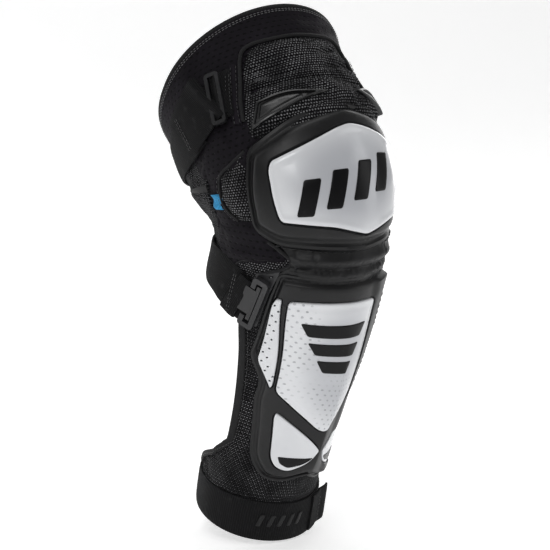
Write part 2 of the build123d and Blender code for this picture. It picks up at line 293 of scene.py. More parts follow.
def relief(name, edge, height, base, rings, loops=(), holes=(), grid=2.6):
    """A closed moulding on the skin: height gives its top for places on the unrolled skin, and it
    stands on the height base. loops are inner outlines with the insets where its shape changes."""
    chains = [inset(edge, r) if r else edge for r in rings]
    for loop, insets in loops:
        chains += [inset(loop, r) if r else loop for r in insets]
    chains += list(holes)
    points = np.vstack(chains)
    links, first = [], 0
    for chain in chains:
        ids = np.arange(len(chain)) + first
        links += list(zip(ids, np.roll(ids, -1)))
        first += len(chain)
    low, high = edge.min(0), edge.max(0)
    xs, ys = np.arange(low[0], high[0], grid), np.arange(low[1], high[1], grid * 0.87)
    mesh_x, mesh_y = np.meshgrid(xs, ys)
    mesh_x = mesh_x + (np.arange(len(ys)) % 2)[:, None] * grid / 2
    spots = np.stack([mesh_x.ravel(), mesh_y.ravel()], -1)
    spots = spots[inside(spots, edge) > rings[-1] + 0.3 * grid]
    keep = np.ones(len(spots), bool)
    for chunk in np.array_split(np.arange(len(spots)), max(1, len(spots) // 400)):
        gap = np.hypot(
            spots[chunk][:, None, 0] - points[None, :, 0], spots[chunk][:, None, 1] - points[None, :, 1]
        )
        keep[chunk] = gap.min(1) > 0.5 * grid
    points = np.vstack([points, spots[keep]])
    verts, _, faces, *_ = delaunay_2d_cdt(
        [Vector(p) for p in points], [(int(a), int(b)) for a, b in links], [], 0, 1e-4
    )
    verts = np.array([tuple(v) for v in verts])
    faces = np.array([f for f in faces if len(f) == 3])
    middles = verts[faces].mean(1)
    wanted = inside(middles, edge) > 0
    for hole in holes:
        wanted &= inside(middles, hole) < 0
    faces = faces[wanted]
    top = unrolled(verts, height(verts))
    bottom = unrolled(verts, np.full(len(verts), base))
    count = len(verts)
    sides = {}
    for a, b, c in faces:
        for u, v in ((a, b), (b, c), (c, a)):
            if (v, u) in sides:
                del sides[(v, u)]
            else:
                sides[(u, v)] = True
    walls = [(v, u, u + count, v + count) for u, v in sides]
    used = np.unique(faces)
    renumber = np.full(2 * count, -1)
    both = np.r_[used, used + count]
    renumber[both] = np.arange(len(both))
    every = [tuple(renumber[list(f)]) for f in faces]
    every += [tuple(renumber[[c + count, b + count, a + count]]) for a, b, c in faces]
    every += [tuple(renumber[list(w)]) for w in walls]
    return finish_mesh(name, np.vstack([top, bottom])[both], every, np.vstack([verts, verts])[both])


LIP_RINGS = (0, 0.5, 1.1, 2.8, 3.5, 4.2, 5.0, 6.0, 7.0)  # insets where a moulding's section changes
SHELL_RINGS = (0, 0.25, 0.7, 1.6)
INLAY_RINGS = (0, 0.3, 0.7)
WEBBING_RINGS = (0, 0.5, 1.2)


def grid_places(place, columns, rows):
    """A grid's u, v, turns, stations and heights; place(u, v) gives the last three for 0 to 1."""
    u, v = np.meshgrid(np.linspace(0, 1, columns + 1), np.linspace(0, 1, rows + 1))
    turn, station, height = np.broadcast_arrays(*place(u, v))
    points = skin(turn, station, height)
    return u, v, turn, station, height


def thick_grid(name, outer, inner, uv, closed):
    """A closed mesh between two grids of points; a closed grid joins its last column to its first."""
    rows, columns = outer.shape[0] - 1, outer.shape[1] - 1
    across = columns if closed else columns + 1
    count = across * (rows + 1)
    faces, corner_uvs = [], []

    def quad(cells):
        faces.append([(c % across if closed else c) + r * across + s * count for c, r, s in cells])
        corner_uvs.extend(uv[r, c] for c, r, _ in cells)

    for r in range(rows):
        for c in range(columns):
            quad([(c, r, 0), (c + 1, r, 0), (c + 1, r + 1, 0), (c, r + 1, 0)])
            quad([(c, r + 1, 1), (c + 1, r + 1, 1), (c + 1, r, 1), (c, r, 1)])
    for c in range(columns):
        quad([(c, 0, 1), (c + 1, 0, 1), (c + 1, 0, 0), (c, 0, 0)])
        quad([(c, rows, 0), (c + 1, rows, 0), (c + 1, rows, 1), (c, rows, 1)])
    for r in range(0 if closed else rows):
        quad([(0, r + 1, 1), (0, r, 1), (0, r, 0), (0, r + 1, 0)])
        quad([(columns, r + 1, 0), (columns, r, 0), (columns, r, 1), (columns, r + 1, 1)])
    layers = [layer[:, :across].reshape(-1, 3) for layer in (outer, inner)]
    return finish_mesh(name, np.vstack(layers), faces, np.array(corner_uvs))


def sheet_grid(name, place, columns, rows, thickness, closed=False):
    """A thick sheet over a grid of places."""
    _, _, turn, station, height = grid_places(place, columns, rows)
    uv = spread(turn, station)
    layers = skin(turn, station, height), skin(turn, station, height - thickness)
    return thick_grid(name, *layers, uv, closed)


def simulate(start, held, outward, grow, pressure, closed, frames=20):
    """Lets a grid of cloth that is cut a little too large settle between the points that are held."""
    rows, columns = start.shape[0] - 1, start.shape[1] - 1
    across = columns if closed else columns + 1
    faces = []
    for r in range(rows):
        for c in range(columns):
            low, high = r * across, (r + 1) * across
            faces.append((low + c, low + (c + 1) % across, high + (c + 1) % across, high + c))
    first = np.cross(start[0, 1] - start[0, 0], start[1, 0] - start[0, 0])
    if first @ outward[0, 0] < 0:
        faces = [f[::-1] for f in faces]
    mesh = bpy.data.meshes.new("rehearsal")
    mesh.from_pydata([tuple(p) for p in start[:, :across].reshape(-1, 3)], [], faces)
    trial = bpy.data.objects.new("rehearsal", mesh)
    scene = bpy.context.scene
    scene.collection.objects.link(trial)
    group = trial.vertex_groups.new(name="held")
    for i, weight in enumerate(held[:, :across].ravel()):
        group.add([i], float(weight), "REPLACE")
    cloth = trial.modifiers.new("Cloth", "CLOTH")
    cloth.settings.vertex_group_mass = "held"
    cloth.settings.quality = 5
    cloth.settings.bending_stiffness = 0.3
    cloth.settings.shrink_min = -grow
    cloth.settings.use_pressure = True
    cloth.settings.uniform_pressure_force = pressure
    cloth.settings.effector_weights.gravity = 0
    cloth.collision_settings.use_collision = False
    for frame_number in range(1, frames + 1):
        scene.frame_set(frame_number)
    settled = trial.evaluated_get(bpy.context.evaluated_depsgraph_get()).data
    points = np.empty(len(settled.vertices) * 3)
    settled.vertices.foreach_get("co", points)
    scene.frame_set(1)
    bpy.data.objects.remove(trial)
    points = points.reshape(rows + 1, across, 3)
    return np.concatenate([points, points[:, :1]], 1) if closed else points


def sewn_cloth(
    name, place, columns, rows, thickness, sewn, grow=0.05, pressure=4.0, reach=1.6, dip=0.8, closed=False
):
    """A sheet that is sewn down where sewn(u, v, turn, station) is 1 and takes its own folds between,
    at most reach above its places and dip below them."""
    u, v, turn, station, height = grid_places(place, columns, rows)
    start = skin(turn, station, height)
    outward = skin(turn, station, height + 1) - start
    outward /= np.linalg.norm(outward, axis=-1)[..., None]
    held = np.clip(sewn(u, v, turn, station) + 0 * u, 0, 1)
    shift = simulate(start, held, outward, grow, pressure, closed) - start
    lift = (shift * outward).sum(-1)
    slide = shift - lift[..., None] * outward
    slide_length = np.linalg.norm(slide, axis=-1)
    slide *= np.minimum(1, SLIDE * MM / np.maximum(slide_length, 1e-9))[..., None]
    middle, half = (reach - dip) / 2 * MM, (reach + dip) / 2 * MM
    lift = middle + half * np.tanh((lift - middle) / half)
    lift -= middle + half * math.tanh(-middle / half)
    outer = start + slide + lift[..., None] * outward
    uv = spread(turn, station)
    return thick_grid(name, outer, outer - thickness * MM * outward, uv, closed)


def along(route, step=3.0):
    """A smooth path on the unrolled skin through turns and stations, with its sideways direction."""
    bends = flat(route)
    lengths = np.r_[0, np.cumsum(np.linalg.norm(np.diff(bends, axis=0), axis=1))]
    knots = np.vstack([2 * bends[0] - bends[1], bends, 2 * bends[-1] - bends[-2]])
    at = np.linspace(0, lengths[-1], max(3, int(lengths[-1] / step)) + 1)
    spot = np.interp(at, lengths, range(len(bends)))
    low = np.minimum(spot.astype(int), len(bends) - 2)
    t = (spot - low)[:, None]
    p0, p1, p2, p3 = (knots[low + k] for k in range(4))
    path = 0.5 * (
        2 * p1
        + (p2 - p0) * t
        + (2 * p0 - 5 * p1 + 4 * p2 - p3) * t**2
        + (3 * p1 - p0 - 3 * p2 + p3) * t**3
    )
    ahead = np.gradient(path, axis=0)
    ahead /= np.linalg.norm(ahead, axis=1)[:, None]
    return path, np.stack([-ahead[:, 1], ahead[:, 0]], -1), at


def band(name, route, section, step, height=None):
    """A strip swept along a route. section is a closed list of (sideways, up) in mm, and height may
    add to it along the length."""
    path, sideways, at = along(route, step)
    section = np.array(section, float)
    count = len(section)
    rise = np.zeros(len(at)) if height is None else height(at / at[-1])
    verts = np.vstack(
        [unrolled(p + section[:, :1] * s, section[:, 1] + h) for p, s, h in zip(path, sideways, rise)]
    )
    run = np.r_[0, np.cumsum(np.linalg.norm(np.diff(section, axis=0), axis=1))]
    uvs = np.array([(a, r) for a in at for r in run])
    faces = []
    for i in range(len(at) - 1):
        for k in range(count):
            a, b = i * count + k, i * count + (k + 1) % count
            faces.append((a, b, b + count, a + count))
    faces.append(tuple(range(count)))
    faces.append(tuple((len(at) - 1) * count + k for k in reversed(range(count))))
    return finish_mesh(name, verts, faces, uvs)


def strap_section(width, low, high, bulge=0.3, steps=14):
    """A flat strap's section, slightly crowned, with rounded selvedges."""
    half = width / 2
    top = [
        (half * c, high + bulge * (1 - c * c) - 0.45 * (abs(c) > 0.985))
        for c in np.linspace(-1, 1, steps)
    ]
    bottom = [(half * c, low) for c in np.linspace(1, -1, steps)]
    return top + bottom


def round_section(radius, low, count=10):
    """A cord's or piping's round section standing at a height."""
    turns = np.arange(count) * 2 * math.pi / count
    return [(radius * math.cos(t), low + radius * (1 + math.sin(t))) for t in turns]


def tubes(name, paths, radius, sides=6):
    """Threads: a thin tube along each path of points in metres, in one object."""
    verts, faces, uvs = [], [], []
    for path in paths:
        path = np.asarray(path, float)
        ahead = np.gradient(path, axis=0)
        ahead /= np.maximum(np.linalg.norm(ahead, axis=1), 1e-9)[:, None]
        guide = np.cross(ahead, [0.31, 0.82, 0.48])
        guide /= np.linalg.norm(guide, axis=1)[:, None]
        other = np.cross(ahead, guide)
        first = len(verts)
        last = len(path) - 1
        for i, (p, g, o) in enumerate(zip(path, guide, other)):
            size = radius * MM * (0.55 if i in (0, last) else 1.0)
            for k in range(sides):
                a = 2 * math.pi * k / sides
                verts.append(p + size * (math.cos(a) * g + math.sin(a) * o))
                uvs.append((i, k))
        for i in range(last):
            for k in range(sides):
                a, b = first + i * sides + k, first + i * sides + (k + 1) % sides
                faces.append((a, b, b + sides, a + sides))
        faces.append(tuple(first + k for k in range(sides)))
        faces.append(tuple(first + last * sides + k for k in reversed(range(sides))))
    return finish_mesh(name, verts, faces, np.array(uvs, float), sharp=80)


def stitches(name, lines, length=2.6, gap=1.1, radius=0.26, lift=0.12):
    """Rows of running stitches. Each line is (route, height)."""
    paths = []
    for route, height in lines:
        path, _, at = along(route, 0.6)
        for start in np.arange(0.8, at[-1] - length, length + gap):
            spots = start + np.linspace(0, length, 5)
            xy = np.stack([np.interp(spots, at, path[:, k]) for k in (0, 1)], -1)
            arch = np.array([-0.25, 0.8, 1.0, 0.8, -0.25]) * radius + lift
            paths.append(unrolled(xy, height + arch))
    return tubes(name, paths, radius)


# ---------------------------------------------------------------- materials
class Look:
    """A material's nodes, with short calls to add them and to join them."""

    def __init__(self, name, color, roughness, **constants):
        self.material = bpy.data.materials.new(name)
        self.material.use_nodes = True
        self.tree = self.material.node_tree
        self.shader = self.tree.nodes["Principled BSDF"]
        self.base = (*color, 1.0)
        self.put(self.shader, "Base Color", self.base)
        self.put(self.shader, "Roughness", roughness)
        for socket, value in constants.items():
            self.put(self.shader, socket.replace("_", " "), value)

    def put(self, node, socket, value):
        if isinstance(value, bpy.types.NodeSocket):
            self.tree.links.new(value, node.inputs[socket])
        else:
            node.inputs[socket].default_value = value

    def add(self, kind, output=0, settings=(), **inputs):
        node = self.tree.nodes.new(kind)
        for key, value in settings:
            setattr(node, key, value)
        for socket, value in inputs.items():
            self.put(node, socket.replace("_", " "), value)
        return node.outputs[output]

    def math(self, operation, a, b=0.0):
        node = self.tree.nodes.new("ShaderNodeMath")
        node.operation = operation
        self.put(node, 0, a)
        self.put(node, 1, b)
        return node.outputs[0]

    def across_and_along(self):
        """The place on the unrolled skin, in mm."""
        uv = self.add("ShaderNodeUVMap", settings=[("uv_map", "flat")])
        node = self.tree.nodes.new("ShaderNodeSeparateXYZ")
        self.put(node, 0, uv)
        return tuple(self.math("MULTIPLY", node.outputs[k], UV_SCALE) for k in (0, 1))

    def wave(self, value, pitch, shift=0.0):
        """0 to 1 and back over each pitch."""
        turns = self.math("MULTIPLY_ADD", value, 2 * math.pi / pitch)
        turns.node.inputs[2].default_value = shift
        swing = self.math("SINE", turns)
        half = self.math("MULTIPLY_ADD", swing, 0.5)
        half.node.inputs[2].default_value = 0.5
        return half

    def dots(self, x, y, pitch, row, radius, radius_y=None, soft=0.25):
        """1 inside each spot of a staggered lattice."""
        rows = self.math("FLOOR", self.math("DIVIDE", y, row))
        odd = self.math("MULTIPLY", self.math("MODULO", self.math("ADD", rows, 4000.0), 2.0), 0.5)
        cell_x = self.math(
            "SUBTRACT", self.math("FRACT", self.math("ADD", self.math("DIVIDE", x, pitch), odd)), 0.5
        )
        cell_y = self.math("SUBTRACT", self.math("FRACT", self.math("DIVIDE", y, row)), 0.5)
        far_x = self.math("POWER", self.math("ABSOLUTE", self.math("MULTIPLY", cell_x, pitch / radius)), 2.0)
        far_y = self.math(
            "POWER", self.math("ABSOLUTE", self.math("MULTIPLY", cell_y, row / (radius_y or radius))), 2.0
        )
        away = self.math("SQRT", self.math("ADD", far_x, far_y))
        return self.fade(away, 1 + soft, 1 - soft)

    def fade(self, value, zero, one):
        """0 where value is at zero, 1 where it is at one, smooth between."""
        low, high = min(zero, one), max(zero, one)
        outs = (0.0, 1.0) if one > zero else (1.0, 0.0)
        settings = [("interpolation_type", "SMOOTHSTEP")]
        return self.add(
            "ShaderNodeMapRange", 0, settings, Value=value, From_Min=low, From_Max=high, To_Min=outs[0],
            To_Max=outs[1],
        )

    def noise(self, scale, detail=3.0, rough=0.55):
        """Noise in the object's own space."""
        place = self.add("ShaderNodeTexCoord", 3)
        return self.add("ShaderNodeTexNoise", Vector=place, Scale=scale, Detail=detail, Roughness=rough)

    def paint(self, mask, color):
        """Mixes a colour over the base where mask is 1."""
        node = self.tree.nodes.new("ShaderNodeMix")
        node.data_type = "RGBA"
        current = self.shader.inputs["Base Color"]
        self.put(node, 0, mask)
        if current.links:
            self.tree.links.new(current.links[0].from_socket, node.inputs[6])
        else:
            node.inputs[6].default_value = self.base
        node.inputs[7].default_value = (*color, 1.0)
        self.put(self.shader, "Base Color", node.outputs[2])
        return self

    def squared(self, value, size):
        """A distance as a share of a size, squared."""
        return self.math("POWER", self.math("ABSOLUTE", self.math("DIVIDE", value, size)), 2.0)

    def paint_middle_shade(self, middle, half, color):
        """Paints shade over the middle of a plate and leaves its rim bright."""
        place = self.across_and_along()
        far = [self.squared(self.math("SUBTRACT", place[k], middle[k]), half[k]) for k in (0, 1)]
        painted_shade = self.fade(self.math("ADD", *far), 1.15, 0.1)
        return self.paint(self.math("MULTIPLY", painted_shade, 0.85), color)

    def bump(self, height, distance, strength=1.0):
        """Adds a bump of a real depth in mm."""
        node = self.tree.nodes.new("ShaderNodeBump")
        self.put(node, "Height", height)
        self.put(node, "Distance", distance * MM)
        self.put(node, "Strength", strength)
        normal = self.shader.inputs["Normal"]
        if normal.links:
            self.tree.links.new(normal.links[0].from_socket, node.inputs["Normal"])
        self.put(self.shader, "Normal", node.outputs[0])
        return self

    def rough(self, mask, low, high):
        """Sets the roughness from a mask."""
        self.put(
            self.shader, "Roughness", self.add("ShaderNodeMapRange", Value=mask, To_Min=low, To_Max=high)
        )
        return self


def glossy_plate():
    """White moulded shell: soft mottling, fine grey speckles and hairline scratches, with painted shade over
    the middle and the rim left bright.
    """
    look = Look("glossy_white", (0.72, 0.73, 0.75), 0.24, Coat_Weight=0.35, Coat_Roughness=0.12, IOR=1.49)
    # painted shade over the plate's middle, the rim left bright
    look.paint_middle_shade((4.0, 8.0), (62.0, 27.0), (0.40, 0.41, 0.44))
    haze = look.noise(14.0, 4.0)
    look.paint(look.math("MULTIPLY", look.fade(haze, 0.48, 0.72), 0.5), (0.62, 0.635, 0.66))
    scuff = look.noise(160.0, 5.0, 0.7)
    look.paint(look.math("MULTIPLY", look.fade(scuff, 0.62, 0.72), 0.35), (0.55, 0.56, 0.58))
    return look.rough(scuff, 0.16, 0.30).bump(look.noise(900.0), 0.02, 0.4).material


def dimpled_plate():
    """The shin plate: glossy white with fields of small moulded dimples, darkened with painted shade, and
    painted shade over its middle.
    """
    look = Look("dimpled_white", (0.74, 0.75, 0.77), 0.24, Coat_Weight=0.35, Coat_Roughness=0.12, IOR=1.49)
    # painted shade over the plate's middle, the rim left bright
    look.paint_middle_shade((4.0, -124.0), (46.0, 66.0), (0.44, 0.45, 0.48))
    x, y = look.across_and_along()
    dimples = look.dots(x, y, 7.2, 5.0, 1.15, 0.9)
    field = look.fade(look.noise(26.0, 2.0), 0.36, 0.52)
    low = look.math("MAXIMUM", look.fade(y, -128.0, -138.0), look.fade(look.math("ABSOLUTE", x), 24.0, 34.0))
    mask = look.math("MULTIPLY", look.math("MULTIPLY", dimples, field), low)
    # painted shade: the dimples are darkened where shade falls in them
    look.paint(look.math("MULTIPLY", mask, 0.7), (0.30, 0.31, 0.33))
    look.paint(look.math("MULTIPLY", look.fade(look.noise(11.0), 0.5, 0.75), 0.6), (0.70, 0.715, 0.74))
    return look.bump(look.math("SUBTRACT", 1.0, mask), 0.35, 0.8).bump(look.noise(900.0), 0.02, 0.3).material


def moulded_rubber(name="moulded_rubber", color=(0.0045, 0.0045, 0.005), roughness=0.40, shine=0.34):
    """Satin black moulding with a spark-eroded grain, worn paler in patches."""
    look = Look(name, color, roughness, Specular_IOR_Level=shine)
    wear = look.noise(34.0, 5.0, 0.6)
    look.paint(look.math("MULTIPLY", look.fade(wear, 0.50, 0.74), 0.7), tuple(c * 2.0 + 0.004 for c in color))
    return (
        look.rough(
            wear, roughness - 0.08, roughness + 0.12
        ).bump(look.noise(2600.0, 2.0), 0.05, 0.5).material
    )


def air_mesh(name="air_mesh", thread=(0.26, 0.26, 0.27), pitch=2.5, weight=0.85, ribs=0.0):
    """Black spacer knit with pale thread dots in staggered rows and small holes darkened with painted shade.
    """
    look = Look(
        name,
        (0.0035, 0.0035, 0.004),
        0.8,
        Sheen_Weight=0.02,
        Sheen_Roughness=0.5,
        Specular_IOR_Level=0.08,
    )
    x, y = look.across_and_along()
    row = pitch * 0.72
    threads = look.dots(x, y, pitch, row, pitch * 0.27, row * 0.27, 0.4)
    holes = look.dots(look.math("ADD", x, pitch / 2), y, pitch * 2, row * 2, pitch * 0.42, row * 0.5, 0.3)
    patchy = look.fade(look.noise(42.0, 3.0), 0.32, 0.62)
    shade = look.math("MULTIPLY_ADD", patchy, 0.75)
    shade.node.inputs[2].default_value = 0.25
    amount = look.math("MULTIPLY", look.math("MULTIPLY", threads, shade), weight)
    if ribs:
        lines = look.fade(look.wave(y, ribs), 0.25, 0.85)
        amount = look.math("MULTIPLY", amount, look.math("ADD", look.math("MULTIPLY", lines, 0.8), 0.2))
    look.paint(amount, thread)
    # painted shade: the holes are darkened as the shade inside them
    look.paint(holes, (0.0015, 0.0015, 0.002))
    relief_mask = look.math("SUBTRACT", threads, holes)
    return look.bump(relief_mask, 0.4, 0.9).bump(look.noise(700.0), 0.08, 0.5).material


def perforated_neoprene():
    """Dark neoprene laminate with staggered rows of small oblong perforations."""
    look = Look(
        "perforated_neoprene",
        (0.0062, 0.0050, 0.0072),
        0.72,
        Sheen_Weight=0.02,
        Sheen_Roughness=0.45,
        Specular_IOR_Level=0.1,
    )
    x, y = look.across_and_along()
    holes = look.dots(x, y, 6.4, 4.6, 1.5, 0.7, 0.35)
    fine = look.wave(x, 0.9)
    cloudy = look.noise(16.0, 4.0)
    look.paint(look.math("MULTIPLY", look.fade(cloudy, 0.42, 0.72), 0.8), (0.0125, 0.0100, 0.0145))
    # painted shade: the perforations are darkened as the shade inside them
    look.paint(holes, (0.0012, 0.0012, 0.0015))
    look.bump(look.math("SUBTRACT", 1.0, holes), 0.5, 0.9)
    return look.bump(fine, 0.06, 0.6).bump(look.noise(60.0, 4.0), 0.5, 0.35).material


def elastic(name="elastic_webbing", rib=1.5, color=(0.0048, 0.0048, 0.0052)):
    """Knitted elastic: fine ribs across the strap and a brushed cross grain."""
    look = Look(name, color, 0.8, Sheen_Weight=0.02, Sheen_Roughness=0.5, Specular_IOR_Level=0.1)
    length, width = look.across_and_along()
    ribs = look.wave(length, rib)
    cords = look.wave(width, 1.1)
    grain = look.math("MULTIPLY", ribs, look.math("ADD", look.math("MULTIPLY", cords, 0.5), 0.5))
    look.paint(
        look.math("MULTIPLY", look.fade(grain, 0.45, 1.0), 0.75), tuple(c * 2.6 + 0.006 for c in color)
    )
    look.paint(
        look.math("MULTIPLY", look.fade(look.noise(120.0, 4.0), 0.55, 0.75), 0.35), (0.035, 0.035, 0.036)
    )
    return look.bump(grain, 0.35, 0.9).bump(look.noise(1500.0), 0.06, 0.6).material


def tape():
    """Twill tape: slanting fine ribs."""
    color = (0.006, 0.006, 0.0065)
    look = Look("binding_tape", color, 0.7, Sheen_Weight=0.03, Sheen_Roughness=0.5, Specular_IOR_Level=0.2)
    x, y = look.across_and_along()
    twill = look.wave(look.math("ADD", x, y), 0.8)
    look.paint(look.math("MULTIPLY", twill, 0.5), tuple(c * 2.4 + 0.008 for c in color))
    return look.bump(twill, 0.12, 0.8).bump(look.noise(500.0), 0.05, 0.5).material


def soft_cloth(name, color, depth):
    """Brushed lining or loop tape: a short pile with clumps."""
    look = Look(name, color, 0.85, Sheen_Weight=0.1, Sheen_Roughness=0.4, Specular_IOR_Level=0.1)
    pile = look.noise(900.0, 4.0, 0.7)
    look.paint(look.fade(pile, 0.45, 0.7), tuple(min(1.0, c * 1.8 + 0.01) for c in color))
    look.paint(
        look.math("MULTIPLY", look.fade(look.noise(60.0), 0.5, 0.7), 0.5), tuple(c * 0.6 for c in color)
    )
    return look.bump(pile, depth, 0.8).material


def foam_look():
    """Dark closed-cell foam."""
    look = Look("closed_cell_foam", (0.045, 0.045, 0.048), 0.9)
    cells = look.noise(1400.0, 2.0)
    look.paint(look.fade(cells, 0.55, 0.7), (0.018, 0.018, 0.02))
    return look.bump(cells, 0.15, 0.8).material


def thread_look(name, color):
    """Sewing thread with its twist."""
    look = Look(name, color, 0.6, Sheen_Weight=0.3)
    x, y = look.across_and_along()
    twist = look.wave(look.math("ADD", x, y), 0.7)
    return (
        look.paint(
            look.math("MULTIPLY", twist, 0.4), tuple(c * 0.4 for c in color)
        ).bump(twist, 0.05).material
    )


def black_gloss():
    """Black lens plastic with a few scuffs."""
    look = Look("black_gloss", (0.003, 0.003, 0.0035), 0.3, Specular_IOR_Level=0.2)
    scuff = look.noise(200.0, 5.0, 0.7)
    look.paint(look.math("MULTIPLY", look.fade(scuff, 0.6, 0.75), 0.4), (0.03, 0.03, 0.032))
    return look.rough(scuff, 0.22, 0.42).material


def print_look():
    """Silicone print: soft translucent grey beads."""
    look = Look("silicone_print", (0.06, 0.06, 0.065), 0.35, Coat_Weight=0.3)
    x, y = look.across_and_along()
    beads = look.dots(x, y, 6.0, 5.0, 2.0, 1.6)
    return look.paint(beads, (0.12, 0.12, 0.13)).bump(beads, 0.5).material


WHITE, DIMPLED, RUBBER = glossy_plate(), dimpled_plate(), moulded_rubber()
SOFT_RUBBER = moulded_rubber("soft_rubber", (0.0055, 0.0055, 0.006), 0.46, 0.30)
TRIM_RUBBER = moulded_rubber("trim_rubber", (0.006, 0.006, 0.0065), 0.28, 0.6)
KNIT = air_mesh()
SHIN_KNIT = air_mesh("shin_mesh", (0.30, 0.30, 0.31), 2.2, 0.8, ribs=3.2)
SIDE_KNIT = air_mesh("side_mesh", (0.20, 0.20, 0.21), 2.4, 0.7)
NEOPRENE, ELASTIC, TAPE = perforated_neoprene(), elastic(), tape()
CROSS_ELASTIC = elastic("ankle_elastic", 2.2, (0.0060, 0.0060, 0.0065))
LOOP = soft_cloth("loop_tape", (0.012, 0.012, 0.013), 0.25)
LINING = soft_cloth("blue_lining", (0.035, 0.22, 0.42), 0.08)
FOAM, SILICONE, INLAY = foam_look(), print_look(), black_gloss()
THREAD, PALE_THREAD = (
    thread_look("black_thread", (0.035, 0.035, 0.037)), thread_look("grey_thread", (0.16, 0.16, 0.165))
)
HARDWARE = moulded_rubber("acetal_black", (0.008, 0.008, 0.009), 0.32, 0.5)
CATCH = moulded_rubber("acetal_grey", (0.020, 0.020, 0.0215), 0.38, 0.4)


def dress(piece, look, body=None, replaces=(), bend=None):
    """Gives a piece its material, hides the CAD nodes that it replaces and attaches it to the body that it
    follows; a piece given a bend is only baked where it stands, not attached or bent.
    """
    piece.data.materials.clear()
    piece.data.materials.append(look)
    if replaces:
        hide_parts(*replaces)
    if bend:
        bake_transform(piece)
    else:
        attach(piece, body)
    return piece


# ---------------------------------------------------------------- bodies and spine points given for pieces that cross a joint
def spine(station):
    """The middle of the leg at a station, in metres."""
    y, z = rings_at(station)[:2]
    return (0.0, y * MM, z * MM)


KNEE_TO_THIGH = ("knee", "thigh", spine(46), spine(92))
SIDE_TO_THIGH = ("knee", "thigh", spine(34), spine(72))
BACK_TO_THIGH = ("knee", "thigh", spine(18), spine(70))
KNEE_TO_SHIN = ("knee", "shin", spine(-23), spine(-42))
SIDE_TO_SHIN = ("knee", "shin", spine(-20), spine(-50))
BACK_TO_SHIN = ("knee", "shin", spine(-2), spine(-58))


def hump(value, middle, width):
    """A smooth bump of height 1."""
    return np.exp(-(((np.asarray(value, float) - middle) / width) ** 2))


def lip_profile(d, low, lip, groove, body, body_at=9.0):
    """A moulding's section by its distance inside the edge: rolled lip, groove, then the raised body."""
    h = low + (lip - low) * ramp(d, 0, 1.1)
    h = h + (groove - lip) * ramp(d, 2.8, 4.2)
    return h + (body - groove) * ramp(d, 5.0, body_at)


# ---------------------------------------------------------------- knee
FRAME_CORNERS = [(-6, 52), (26, 46, 12), (56, 33.5, 7), (64, 10, 20), (64, -18, 8), (50, -27, 9), (-4, -30)]
FRAME_CORNERS += [(-52, -26, 9), (-64, -14, 9), (-65, 10, 20), (-58, 31, 8), (-38, 44, 12)]
FRAME_EDGE = outline(FRAME_CORNERS)
PLATE_CORNERS = [
    (0, 36), (8, 34.5, 7), (26, 29, 14), (48.5, 23, 4), (51, 18, 5), (52, 2, 20), (50, -11.5, 4),
    (20, -15), (0, -20),
]
PLATE_EDGE = outline(twisted(mirror(PLATE_CORNERS), CUP_TWIST))


def inner_drop(xy):
    """How much closer to the leg the cup lies towards its inner edge."""
    return 4.0 * ramp(-xy[:, 0] / pace(xy[:, 1]), 22, 52)


def frame_height(xy):
    """The knee frame's profile: a rolled lip that runs down to the seat of the plate."""
    d, plate = inside(xy, FRAME_EDGE), inside(xy, PLATE_EDGE)
    h = lip_profile(d, 6.2, 8.8, 7.0, 11.2)
    h += 0.9 * ramp(d, 8, 16)
    h -= 3.4 * ramp(plate, -1.5, -0.5)
    return h - 0.8 * inner_drop(xy)


def plate_height(xy):
    """The knee plate's surface over the skin."""
    d = inside(xy, PLATE_EDGE)
    face = 14.2 - 0.35 * ramp(d, 2.6, 3.6) + 1.0 * ramp(d, 4, 24)
    return face - rounded_edge(d, 2.2, 1.8) - inner_drop(xy)


def bar_outline(middle):
    """The outline of one slanted bar on the knee plate."""
    lean, half = 3.4, 4.6
    low, high = -3 - 0.2 * middle, 16.5 - 0.2 * middle
    corners = [
        (middle - lean + half, high),
        (middle - lean - half, high),
        (middle + lean - half, low),
        (middle + lean + half, low),
    ]
    return outline(corners, radius=1.5, step=1.2)


